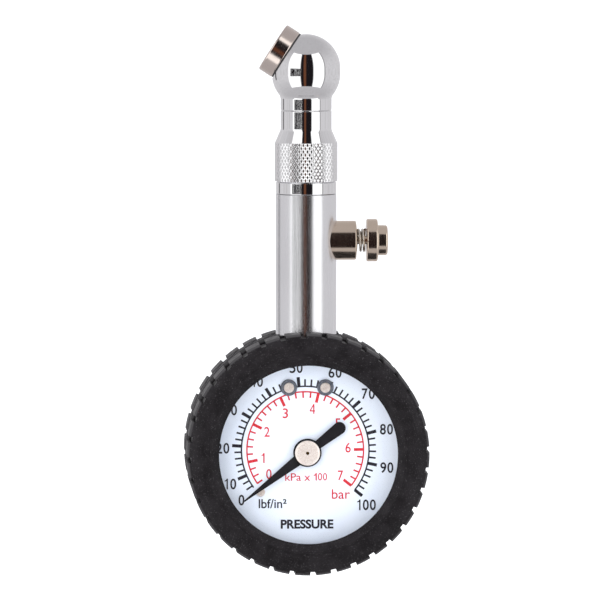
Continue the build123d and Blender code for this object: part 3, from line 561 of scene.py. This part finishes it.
def tick(inner, outer, width, angle):
    """A printed line between two radii."""
    out, side = polar(1, angle), polar(1, angle + 90)
    corners = [(r * out[0] + s * side[0], r * out[1] + s * side[1], 0)
               for r, s in ((inner, -width / 2), (outer, -width / 2), (outer, width / 2), (inner, width / 2))]
    return corners, [(0, 1, 2, 3)]


def lettering(words, middle, height, width, weight=0.0):
    """Flat letters fitted to a height and a width round a middle point."""
    curve = bpy.data.curves.new("letters", "FONT")
    curve.body = words
    curve.offset = weight
    curve.resolution_u = 6
    source = bpy.data.objects.new("letters", curve)
    bpy.context.collection.objects.link(source)
    bpy.context.view_layer.update()
    mesh = bpy.data.meshes.new_from_object(source.evaluated_get(bpy.context.evaluated_depsgraph_get()))
    spots = np.array([v.co[:2] for v in mesh.vertices])
    low, high = spots.min(axis=0), spots.max(axis=0)
    fitted = (spots - (low + high) / 2) / (high - low) * (width, height) + middle
    faces = [tuple(face.vertices) for face in mesh.polygons]
    bpy.data.objects.remove(source)
    bpy.data.curves.remove(curve)
    return [(x, y, 0) for x, y in fitted], faces


def figure_one(middle, height):
    """The figure 1 as a stem with a flag, which the built-in letters lack."""
    x, y = middle
    half, line, flag = height / 2, 0.34, 0.36
    corners = [(0.1, -half), (0.1 + line, -half), (0.1 + line, half), (0.12, half), (0.02, half - 0.3),
               (-flag, half - 0.48), (-flag, half - 0.72), (0.1, half - 0.6)]
    return [(x + a, y + b, 0) for a, b in corners], [tuple(range(len(corners)))]


def stroke(start, end, width):
    """A straight printed line between two spots."""
    start, end = Vector(start), Vector(end)
    side = (end - start).orthogonal().normalized() * width / 2
    return [(x, y, 0) for x, y in (start - side, end - side, end + side, start + side)], [(0, 1, 2, 3)]


def figure_four(middle, height):
    """The figure 4 as three strokes, because the built-in one closes up when it is this small."""
    x, y = middle
    top, bar, line = y + height / 2, y - height * 0.2, 0.3
    right, left = x + height * 0.14, x - height * 0.26
    return [stroke((right, y - height / 2), (right, top), line),
            stroke((left, bar), (x + height * 0.27, bar), line),
            stroke((left + 0.06, bar + 0.02), (right - 0.02, top - 0.12), line * 0.85)]


def figures(number, middle, height, weight):
    """A number set in narrow figures, one shape for each."""
    digits = str(number)
    advance = height * 0.66
    shapes = []
    for k, digit in enumerate(digits):
        spot = (middle[0] + (k - (len(digits) - 1) / 2) * advance, middle[1])
        if digit == "1":
            shapes.append(figure_one(spot, height))
        elif digit == "4":
            shapes += figure_four(spot, height)
        else:
            shapes.append(lettering(digit, spot, height, height * 0.55, weight))
    return shapes


def on_dial(x, y):
    """A spot measured from the pointer's axis, as the print's own shifted frame has it."""
    return x - PRINT_SHIFT[0], y - PRINT_SHIFT[1]


def printed(name, shapes, material):
    """One piece from many flat shapes, a hair above the dial and each a little above the shape before it."""
    points, faces = [], []
    for k, (spots, patches) in enumerate(shapes):
        start, lift = len(points), DIAL_FACE + PRINT_LIFT + k * PRINT_STEP
        points += [(x + PRINT_SHIFT[0], y + PRINT_SHIFT[1], lift) for x, y, _ in spots]
        faces += [tuple(start + corner for corner in patch) for patch in patches]
    piece(name, points, faces, UPRIGHT, "gauge_body", material)


def outer_scale(ink):
    """Black scale: fine ticks every 2, bold ticks and numbers every 10."""
    shapes = [arc_strip(PSI_RING_R, 0.38, -39.1, 216)]
    for pressure in range(6, 101, 2):
        angle = PSI_ZERO + PSI_STEP * pressure
        bold = pressure % 10 == 0
        shapes.append(tick(PSI_RING_R - 0.05, 18.1 if bold else 17.5, 0.78 if bold else 0.43, angle))
    spots = {0: (-16.2, -11.8), 10: (-19.1, -7.8), 20: (-20.8, 1.05), 30: (-18.9, 10.5), 40: (-12.5, 17.5),
             50: (-2.7, 20.9), 60: (6.9, 19.7), 70: (15.1, 14.4), 80: (19.6, 5.6), 90: (19.7, -3.9),
             100: (14.5, -13.1)}
    for pressure, (x, y) in spots.items():
        shapes += figures(pressure, on_dial(x, y), 2.65, 0.016)
    shapes.append(lettering("lbf/in²", on_dial(-8.5, -12.7), 2.3, 6.9, 0.012))
    shapes.append(lettering("PRESSURE", on_dial(0.0, -17.8), 2.3, 13.0, 0.035))
    printed("black_print", shapes, ink)


def inner_scale(ink):
    """Red scale: fine ticks every 0.2, bold ticks and numbers every 1, and its two units."""
    shapes = [arc_strip(BAR_RING_R, 0.37, -37.8, 215)]
    for fifth in range(2, 36):
        angle = BAR_ZERO + BAR_STEP * fifth / 5
        bold = fifth % 5 == 0
        shapes.append(tick(12.0 if bold else 12.9, BAR_RING_R + 0.05, 0.72 if bold else 0.41, angle))
    places = (212, 189, 153, 117.6, 80.4, 40.5, 4.6, -34.7)
    for number, angle in enumerate(places):
        x, y = polar(BAR_FIGURES_R, angle)
        shapes += figures(number, (x, y - BAR_FIGURES_DROP), 2.45, 0.008)
    shapes.append(lettering("kPa x", on_dial(-2.3, -6.15), 1.9, 6.2, 0.006))
    shapes += figures(100, on_dial(3.2, -6.1), 1.85, 0.006)
    shapes.append(lettering("bar", on_dial(8.35, -10.4), 2.4, 4.5, 0.004))
    printed("red_print", shapes, ink)


def dial_hardware(steel, rubber):
    """Two slotted screws in grommets at the top of the dial, and a rivet at its lower left."""
    head_top = DIAL_FACE + SCREW_HEAD
    for side, x in (("left", -SCREW_X), ("right", SCREW_X)):
        at = UPRIGHT @ Matrix.Translation((x, SCREW_Y, 0))
        head = turned(f"dial_screw_{side}",
                      [(0, 1.0), (SCREW_SHANK_R, 1.0), (SCREW_SHANK_R, DIAL_FACE), (SCREW_HEAD_R, DIAL_FACE),
                       (SCREW_HEAD_R, head_top, 0.3), (0, head_top)],
                      at, "gauge_body", steel, ["dial_screws"], 64)
        slot = box_shape((-2, -0.17, head_top - 0.3), (2, 0.17, head_top + 0.6))
        cut_away(head, *slot, at @ Matrix.Rotation(math.radians(35), 4, "Z"))
        keep_faces_flat(head)
        grommet_top = DIAL_FACE + GROMMET_HEIGHT
        turned(f"grommet_{side}",
               [(SCREW_HEAD_R, DIAL_FACE), (GROMMET_R, DIAL_FACE), (GROMMET_R, grommet_top, 0.2),
                (SCREW_HEAD_R, grommet_top, 0.1)],
               at, "gauge_body", rubber, ["dial_grommets"], 64)
    rivet_top = DIAL_FACE + RIVET_HEAD
    turned("rivet", [(0, DIAL_FACE - 0.8), (RIVET_SHANK_R, DIAL_FACE - 0.8), (RIVET_SHANK_R, DIAL_FACE),
                     (RIVET_R, DIAL_FACE), (RIVET_R, rivet_top, 0.3), (0, rivet_top)],
           UPRIGHT @ Matrix.Translation((*polar(RIVET_AT_R, RIVET_ANGLE), 0)),
           "gauge_body", steel, ["dial_rivet"], 64)


def pointer_outline():
    """Corners of the blade, boss and tail, anticlockwise, with the tip along local +X."""
    root, tip, end = POINTER_ROOT_W / 2, POINTER_TIP_W / 2, TAIL_END_W / 2
    tail_end = -(TAIL_LENGTH - end)
    blade_meets = math.degrees(math.asin(root / POINTER_BOSS_R))
    tail_meets = math.degrees(math.asin(TAIL_ROOT_W / 2 / POINTER_BOSS_R))
    upper = [polar(POINTER_BOSS_R, a) for a in np.linspace(blade_meets, 180 - tail_meets, 24)]
    rounded_end = [(tail_end + end * math.cos(a), end * math.sin(a))
                   for a in np.linspace(math.pi / 2, 3 * math.pi / 2, 24)]
    lower = [(x, -y) for x, y in reversed(upper)]
    return [(POINTER_LENGTH, -tip), (POINTER_LENGTH, tip)] + upper + rounded_end + lower


def pointer(paint, steel, brass):
    """Black blade with softened edges, a turned hub over it and the arbor's end in the middle."""
    outline = pointer_outline()
    count = len(outline)
    low, high = POINTER_LEVEL, POINTER_LEVEL + POINTER_THICKNESS
    points = [(x, y, low) for x, y in outline] + [(x, y, high) for x, y in outline]
    faces = [tuple(reversed(range(count))), tuple(range(count, 2 * count))]
    faces += [(k, (k + 1) % count, count + (k + 1) % count, count + k) for k in range(count)]
    turn = UPRIGHT @ Matrix.Rotation(math.radians(POINTER_ANGLE), 4, "Z")
    blade = piece("pointer_blade", points, faces, turn, "pointer", paint, ["pointer"], 30)
    edge = blade.modifiers.new("edge", "BEVEL")
    edge.width = 0.08 * MM
    edge.segments = 3
    edge.limit_method = "ANGLE"
    turned("hub", [(HUB_HOLE_R, high), (HUB_R, high, 0.08), (HUB_R, HUB_TOP - 0.17, 0.04),
                   (HUB_R - 0.51, HUB_TOP, 0.05), (HUB_HOLE_R, HUB_TOP, 0.05)],
           UPRIGHT, "pointer", steel, ["pointer_hub"], 96)
    nose_r = HUB_HOLE_R - 0.01
    turned("arbor_end", [(0, high), (nose_r, high), (nose_r, HUB_TOP, 0.12), (0, HUB_TOP)],
           UPRIGHT, "pointer", brass)


# ---------------------------------------------------------------- stem and bleed valve

def stem(aluminium):
    """Tube with bores for the nipple and the collar, an air chamber, and a side bore for the bleed valve."""
    nipple_end, spigot_end = NIPPLE_TOP + 1.0, SPIGOT_BOTTOM - 0.6
    made = turned("stem", [(NIPPLE_R, STEM_BOTTOM), (STEM_R, STEM_BOTTOM, 0.3), (STEM_R, STEM_TOP, 0.12),
                           (SPIGOT_R, STEM_TOP), (SPIGOT_R, spigot_end), (CHAMBER_R, spigot_end),
                           (CHAMBER_R, CHAMBER_BOTTOM), (AIR_HOLE_R, CHAMBER_BOTTOM - 2.0),
                           (AIR_HOLE_R, nipple_end), (NIPPLE_R, nipple_end)],
                  STANDING, "gauge_body", aluminium, ["stem_tube"], 256)
    made.modifiers.clear()
    wide_r = VALVE_R + 0.05
    bore = [(0, 1.0), (VALVE_SPIGOT_R, 1.0), (VALVE_SPIGOT_R, VALVE_SEAT), (wide_r, VALVE_SEAT),
            (wide_r, 12.0), (0, 12.0)]
    cut_away(made, *spun(bore, 96), SIDEWAYS)
    keep_faces_flat(made)


def bleed_valve(nickel, steel):
    """Valve body on the stem's side, a plunger through it, the plunger's button and the spring between."""
    pocket_r, mouth_r, lip = SPRING_POCKET_R, SPRING_POCKET_R + 0.7, VALVE_END - 0.35
    turned("valve_body", [(VALVE_BORE, VALVE_START), (VALVE_SPIGOT_R, VALVE_START),
                          (VALVE_SPIGOT_R, VALVE_SEAT), (VALVE_R, VALVE_SEAT), (VALVE_R, VALVE_END, 0.35),
                          (mouth_r, VALVE_END, 0.12), (mouth_r, lip), (pocket_r, lip, 0.1),
                          (pocket_r, SPRING_FOOT), (VALVE_BORE, SPRING_FOOT)],
           SIDEWAYS, "gauge_body", nickel, ["bleed_valve_body"])
    turned("button", [(PLUNGER_R, SPRING_HEAD), (FLANGE_R, SPRING_HEAD, 0.3), (FLANGE_R, FLANGE_END, 0.45),
                      (KNOB_R, FLANGE_END, 0.2), (KNOB_R - 0.05, KNOB_END, 0.5), (0, KNOB_END)],
           SIDEWAYS, "bleed_plunger", nickel, ["bleed_button"])
    turned("plunger_rod", [(0, POPPET_START), (POPPET_R, POPPET_START, 0.15), (POPPET_R, POPPET_END, 0.15),
                           (PLUNGER_R, POPPET_END), (PLUNGER_R, FLANGE_END), (0, FLANGE_END)],
           SIDEWAYS, "bleed_plunger", nickel, ["bleed_plunger"], 64)
    bleed_spring(steel)


def bleed_spring(steel):
    """Round wire wound from the valve body's recess to the button's flange, with closed ends."""
    room = SPRING_HEAD - SPRING_FOOT - 2 * SPRING_WIRE_R - 0.02
    turns = room / SPRING_PITCH + 0.6
    steps, around = round(turns * 40), 14
    points = []
    for k in range(steps + 1):
        share = k / steps
        turn = 2 * math.pi * turns * share
        closed = share - 0.06 * math.sin(2 * math.pi * share)
        height = SPRING_FOOT + SPRING_WIRE_R + 0.01 + room * closed
        for j in range(around):
            side = 2 * math.pi * j / around
            radius = SPRING_MEAN_R + SPRING_WIRE_R * math.cos(side)
            level = height + SPRING_WIRE_R * math.sin(side)
            points.append((radius * math.cos(turn), radius * math.sin(turn), level))
    faces = []
    for k in range(steps):
        here, onward = k * around, (k + 1) * around
        faces += [(here + j, onward + j, onward + (j + 1) % around, here + (j + 1) % around)
                  for j in range(around)]
    faces += [tuple(range(around)), tuple(reversed(range(steps * around, (steps + 1) * around)))]
    made = piece("spring", points, faces, SIDEWAYS, "gauge_body", steel, ["bleed_spring"], 60)
    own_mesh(made)


# ---------------------------------------------------------------- collar and chuck

def knurl_limit(turn, height):
    """Radius under a diamond knurl: two families of crossing V grooves between flat-topped diamonds."""
    if not KNURL_BOTTOM + 0.15 < height < KNURL_TOP - 0.1:
        return KNURL_R
    column = turn / (2 * math.pi) * KNURL_COLUMNS
    rise = height * KNURL_COLUMNS / (2 * math.pi * KNURL_R) * KNURL_LEAN
    deepest = 0.0
    for family in (column + rise, column - rise):
        from_groove = abs(family - round(family)) * 2
        deepest = max(deepest, 1 - from_groove / KNURL_GROOVE)
    return KNURL_R - KNURL_DEPTH * deepest


def collar(chrome):
    """Swivel collar: a foot, a knurled band above a thin groove, a cone and a neck."""
    bore_r, groove_r = STUB_R + 0.05, KNURL_R - 0.65
    corners = [(4.4, SPIGOT_BOTTOM), (SPIGOT_R, SPIGOT_BOTTOM), (SPIGOT_R, COLLAR_FOOT),
               (COLLAR_FOOT_R, COLLAR_FOOT, 0.2), (COLLAR_FOOT_R, KNURL_BOTTOM - 0.12, 0.1),
               (groove_r, KNURL_BOTTOM), (groove_r, KNURL_BOTTOM + 0.02), (KNURL_R, KNURL_BOTTOM + 0.25),
               (KNURL_R, KNURL_TOP - 0.1), (KNURL_R - 0.1, KNURL_TOP, 0.05), (NECK_R, CONE_TOP, 1.6),
               (NECK_R, COLLAR_TOP, 0.15), (bore_r, COLLAR_TOP), (bore_r, CLIP_SHOULDER),
               (4.4, CLIP_SHOULDER)]
    profile = divided(rounded(corners), 0.1, KNURL_R - 0.01)
    points, faces = spun(profile, KNURL_COLUMNS * 14, knurl_limit)
    made = piece("collar", points, faces, STANDING, "gauge_body", chrome, ["swivel_collar"],
                 sharp=30)
    keep_faces_flat(made)


def chuck_head(chrome):
    """Ball on a short neck, with the flat and the bore for the insert cut along the chuck's axis."""
    foot = -math.acos(BALL_FOOT_R / BALL_R)
    lower = [(BALL_R * math.cos(a), LOWER_BALL_Z + BALL_R * math.sin(a)) for a in np.linspace(foot, 0, 40)]
    upper = [(BALL_R * math.cos(a), BALL_Z + BALL_R * math.sin(a)) for a in np.linspace(0, math.pi / 2, 60)]
    upper[-1] = (0.0, BALL_Z + BALL_R)
    bottom = COLLAR_TOP + 0.1
    neck = rounded([(0, STUB_BOTTOM), (STUB_R, STUB_BOTTOM, 0.3), (STUB_R, bottom), (NECK_R, bottom, 0.2),
                    (NECK_R, NECK_TOP, 0.5), (BALL_FOOT_R - 0.02, lower[0][1] - 0.02)])
    points, faces = spun(neck + lower + upper, 224)
    made = piece("ball_head", points, faces, STANDING, "chuck_head", chrome, ["chuck_head"],
                 sharp=30)
    cutter = [(0, 0.5), (5.0, 0.5), (5.0, FLAT_S), (20, FLAT_S), (20, 30), (0, 30)]
    cut_away(made, *spun(cutter, 160), AIMED)
    made.data.set_sharp_from_angle(angle=math.radians(30))
    keep_faces_flat(made)


def chuck_insert(nickel, rubber, brass):
    """Valve insert screwed into the ball over a dark ring of painted shadow in the gap, with its seal and the
    pin inside the seal.
    """
    turned("valve_insert", [(3.9, 0.6), (INSERT_THREAD_R, 0.6), (INSERT_THREAD_R, INSERT_START),
                            (INSERT_R, INSERT_START, 0.3), (INSERT_R, INSERT_END, 0.4),
                            (MOUTH_R, INSERT_END, 0.25), (MOUTH_R, SEAL_SEAT), (3.9, SEAL_SEAT)],
           AIMED, "chuck_head", nickel, ["chuck_insert"])
    # Painted shadow: a dark rubber ring under the insert's shoulder stands in for the shade in the gap
    # between the insert and the ball's flat.
    inner, outer, under, over = INSERT_THREAD_R + 0.02, INSERT_R - 0.12, FLAT_S + 0.01, INSERT_START - 0.01
    turned("gap_shadow_ring", [(inner, under), (outer, under), (outer, over), (inner, over)],
           AIMED, "chuck_head", rubber)
    turned("valve_seal", [(SEAL_HOLE_R, SEAL_START), (SEAL_R, SEAL_START), (SEAL_R, SEAL_END, 0.3),
                          (SEAL_HOLE_R, SEAL_END, 0.3)],
           AIMED, "chuck_head", rubber, ["chuck_seal"], 96)
    plate_top = SEAL_START - 0.02
    turned("core_pin", [(0, 0.7), (SEAL_R, 0.7), (SEAL_R, plate_top), (0.8, plate_top), (0.8, 5.0, 0.2),
                        (0, 5.0)],
           AIMED, "chuck_head", brass, ["core_depressor"], 96)


# ---------------------------------------------------------------- stage

def join(tree, kind, inputs=(), **settings):
    """Adds a node and links earlier sockets, or sets values, into its inputs by position."""
    added = tree.nodes.new(kind)
    for key, value in settings.items():
        setattr(added, key, value)
    for place, value in inputs:
        if isinstance(value, bpy.types.NodeSocket):
            tree.links.new(value, added.inputs[place])
        else:
            added.inputs[place].default_value = value
    return added


def mixed(tree, factor, first, second):
    """A colour between two, each a socket or a plain colour."""
    blend = join(tree, "ShaderNodeMix", [("Factor", factor)], data_type="RGBA")
    for name, colour in (("A", first), ("B", second)):
        if isinstance(colour, bpy.types.NodeSocket):
            tree.links.new(colour, blend.inputs[name])
        else:
            blend.inputs[name].default_value = (*colour, 1)
    return blend.outputs["Result"]


def worked_out(tree, operation, first, second=0.0):
    """The result of a sum on one or two values."""
    return join(tree, "ShaderNodeMath", [(0, first), (1, second)], operation=operation).outputs[0]


def ranged(tree, value, start, end, low=0.0, high=1.0):
    """Carries a value's run from start to end over to low to high."""
    levels = [(0, value), (1, start), (2, end), (3, low), (4, high)]
    return join(tree, "ShaderNodeMapRange", levels).outputs[0]


def between(tree, value, low, high):
    """1 while a value lies between two levels, else 0, with narrow soft edges."""
    rise = ranged(tree, value, low - 0.01, low + 0.01)
    fall = ranged(tree, value, high - 0.01, high + 0.01, 1.0, 0.0)
    return worked_out(tree, "MULTIPLY", rise, fall)


def patch(tree, side, sides, height, heights):
    """1 within a range of bearings and heights, else 0."""
    return worked_out(tree, "MULTIPLY", between(tree, side, *sides), between(tree, height, *heights))


def clutter(tree, direction, scale, detail):
    """Noise all round the tent."""
    added = join(tree, "ShaderNodeTexNoise", [(0, direction), ("Scale", scale), ("Detail", detail)])
    return added.outputs["Fac"]


def tent_cloth(tree, direction, height):
    """Grey cloth, darker towards the roof and the floor, with soft creases."""
    roof = ranged(tree, worked_out(tree, "ABSOLUTE", height), 0.25, 0.8)
    creases = ranged(tree, clutter(tree, direction, 26.0, 3.0), 0.42, 0.72, 0.0, 0.6)
    return mixed(tree, creases, mixed(tree, roof, TENT_SIDE, TENT_ROOF), TENT_CREASE)


def tent_window(tree, direction, side, height):
    """Bright window with a dark gap, a brown post in the gap, a dark frame and a speckled table."""
    view = mixed(tree, between(tree, side, *GAP_SIDES), WINDOW, DARK)
    view = mixed(tree, between(tree, side, *POST_SIDES), view, BROWN)
    view = mixed(tree, between(tree, side, *FRAME_SIDES), view, DARK)
    specks = ranged(tree, clutter(tree, direction, 70.0, 2.0), 0.6, 0.63)
    on_table = patch(tree, side, TABLE_SIDES, height, TABLE_HEIGHTS)
    return mixed(tree, on_table, view, mixed(tree, specks, DARK, WINDOW))


def world():
    """White for the camera and a pale sky for plain surfaces; glossy ones see a grey tent with a window."""
    made = bpy.data.worlds.new("tent")
    made.use_nodes = True
    bpy.context.scene.world = made
    tree = made.node_tree
    tree.nodes.clear()
    direction = join(tree, "ShaderNodeTexCoord").outputs["Generated"]
    split = join(tree, "ShaderNodeSeparateXYZ", [(0, direction)])
    height = split.outputs["Z"]
    ahead = worked_out(tree, "MULTIPLY", split.outputs["Y"], -1.0)
    bearing = worked_out(tree, "ARCTAN2", split.outputs["X"], ahead)
    side = worked_out(tree, "MULTIPLY", bearing, 1 / math.pi)
    cloth, window = tent_cloth(tree, direction, height), tent_window(tree, direction, side, height)
    tent = mixed(tree, patch(tree, side, WINDOW_SIDES, height, WINDOW_HEIGHTS), cloth, window)
    tent = mixed(tree, patch(tree, side, SEAM_SIDES, height, SEAM_HEIGHTS), tent, DARK)
    path = join(tree, "ShaderNodeLightPath")
    lit = mixed(tree, path.outputs["Is Glossy Ray"], SKY, tent)
    seen = mixed(tree, path.outputs["Is Camera Ray"], lit, (1, 1, 1))
    glow = join(tree, "ShaderNodeBackground", [("Color", seen)])
    join(tree, "ShaderNodeOutputWorld", [("Surface", glow.outputs[0])])


def stage(white):
    """Wide floor below the gauge, which glossy surfaces don't see."""
    half, level = 20000, -62
    points = [(-half, -half, level), (half, -half, level), (half, half, level), (-half, half, level)]
    mesh = bpy.data.meshes.new("floor")
    mesh.from_pydata([Vector(p) * MM for p in points], [], [(0, 1, 2, 3)])
    mesh.materials.append(white)
    floor = bpy.data.objects.new("floor", mesh)
    floor.visible_glossy = False
    bpy.context.collection.objects.link(floor)


def area_light(name, place, target, size, power):
    """A rectangular light aimed at a target, which neither the camera nor glossy surfaces see."""
    data = bpy.data.lights.new(name, "AREA")
    data.shape = "RECTANGLE"
    data.size, data.size_y = size[0] * MM, size[1] * MM
    data.energy = power
    light = bpy.data.objects.new(name, data)
    light.location = Vector(place) * MM
    light.rotation_euler = (Vector(target) - Vector(place)).to_track_quat("-Z", "Y").to_euler()
    bpy.context.collection.objects.link(light)
    light.visible_camera = False
    light.visible_glossy = False


def lights():
    """One lamp over the gauge and three in front of it."""
    area_light("overhead", (-60, -180, 560), (0, 0, 20), (600, 500), 2.4)
    area_light("front_left", (-420, -720, 260), (0, 0, 10), (420, 500), 2.0)
    area_light("front_right", (520, -650, 120), (0, 0, 10), (400, 500), 1.3)
    area_light("front_low", (-80, -700, -40), (0, 0, -10), (500, 120), 1.1)


def camera():
    """Long lens, a little left of the dial's axis and a little above it, as the photograph was taken."""
    azimuth, elevation = math.radians(-2.6), math.radians(4.0)
    lens, distance = 500.0, 2058.0
    target = Vector((-1.5, 0, 37.25))
    level = math.cos(elevation)
    back = Vector((math.sin(azimuth) * level, -math.cos(azimuth) * level, math.sin(elevation)))
    data = bpy.data.cameras.new("camera")
    data.lens = lens
    data.sensor_width = 36
    data.clip_end = 50              # metres
    made = bpy.data.objects.new("camera", data)
    made.location = (target + back * distance) * MM
    made.rotation_euler = (-back).to_track_quat("-Z", "Y").to_euler()
    bpy.context.collection.objects.link(made)
    bpy.context.scene.camera = made


def paint_nodes(frame, material, *names):
    """Gives CAD nodes that stay a finish."""
    for name in names:
        made = frame["nodes"][name]
        made.data.materials.clear()
        made.data.materials.append(material)


def main():
    """Builds every piece, then the stage."""
    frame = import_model()
    bpy.context.scene.view_settings.view_transform = "Standard"
    rubber, seal, grommet = boot_rubber(), seal_rubber(), grommet_grey()
    steel = satin_steel()
    wire = machined("spring wire", (0.78, 0.76, 0.72), 0.2, (1, 1, 1))
    bezel_steel = machined("bezel steel", (0.62, 0.62, 0.64), 0.25, (1, 6, 1))
    brass = machined("brass", (0.78, 0.58, 0.3), 0.28, (1, 6, 1))
    bronze = machined("bronze", (0.7, 0.45, 0.26), 0.3, (1, 6, 1))
    aluminium = machined("stem aluminium", (0.84, 0.84, 0.86), 0.24, (14, 14, 0.2), line_depth=0.002)
    chrome = machined("chrome", (0.86, 0.86, 0.87), 0.05, (0.4, 0.4, 8), line_depth=0.001)
    nickel = machined("warm nickel", (0.8, 0.67, 0.55), 0.17, (14, 0.2, 0.2))
    insert_nickel = machined("insert nickel", (0.74, 0.65, 0.6), 0.15, (0.2, 0.2, 14), (0, CHUCK_TILT, 0))
    rubber_boot(rubber)
    case_and_glass(painted_steel(), bezel_steel, seal, lens_glass())
    outer_scale(print_ink("black ink", (0.012, 0.01, 0.018)))
    inner_scale(print_ink("red ink", (0.52, 0.008, 0.018)))
    dial_hardware(steel, grommet)
    pointer(pointer_paint(), steel, brass)
    stem(aluminium)
    bleed_valve(nickel, wire)
    collar(chrome)
    chuck_head(chrome)
    chuck_insert(insert_nickel, seal, brass)
    paint_nodes(frame, brass, "pinion_arbor", "hairspring_collet", "hairspring_stud", "sector_gear",
                "sector_arbor", "link_bar", "bourdon_tip_cap", "movement_front_plate", "movement_back_plate",
                "movement_pillars", "socket_block")
    paint_nodes(frame, bronze, "bourdon_tube", "hairspring")
    paint_nodes(frame, steel, "movement_screws", "link_pins", "swivel_clip")
    paint_nodes(frame, seal, "swivel_oring", "bleed_poppet_seal", "stem_washer")
    paint_nodes(frame, dial_paint(), "dial_plate")
    world()
    stage(stage_white())
    lights()
    camera()


main()
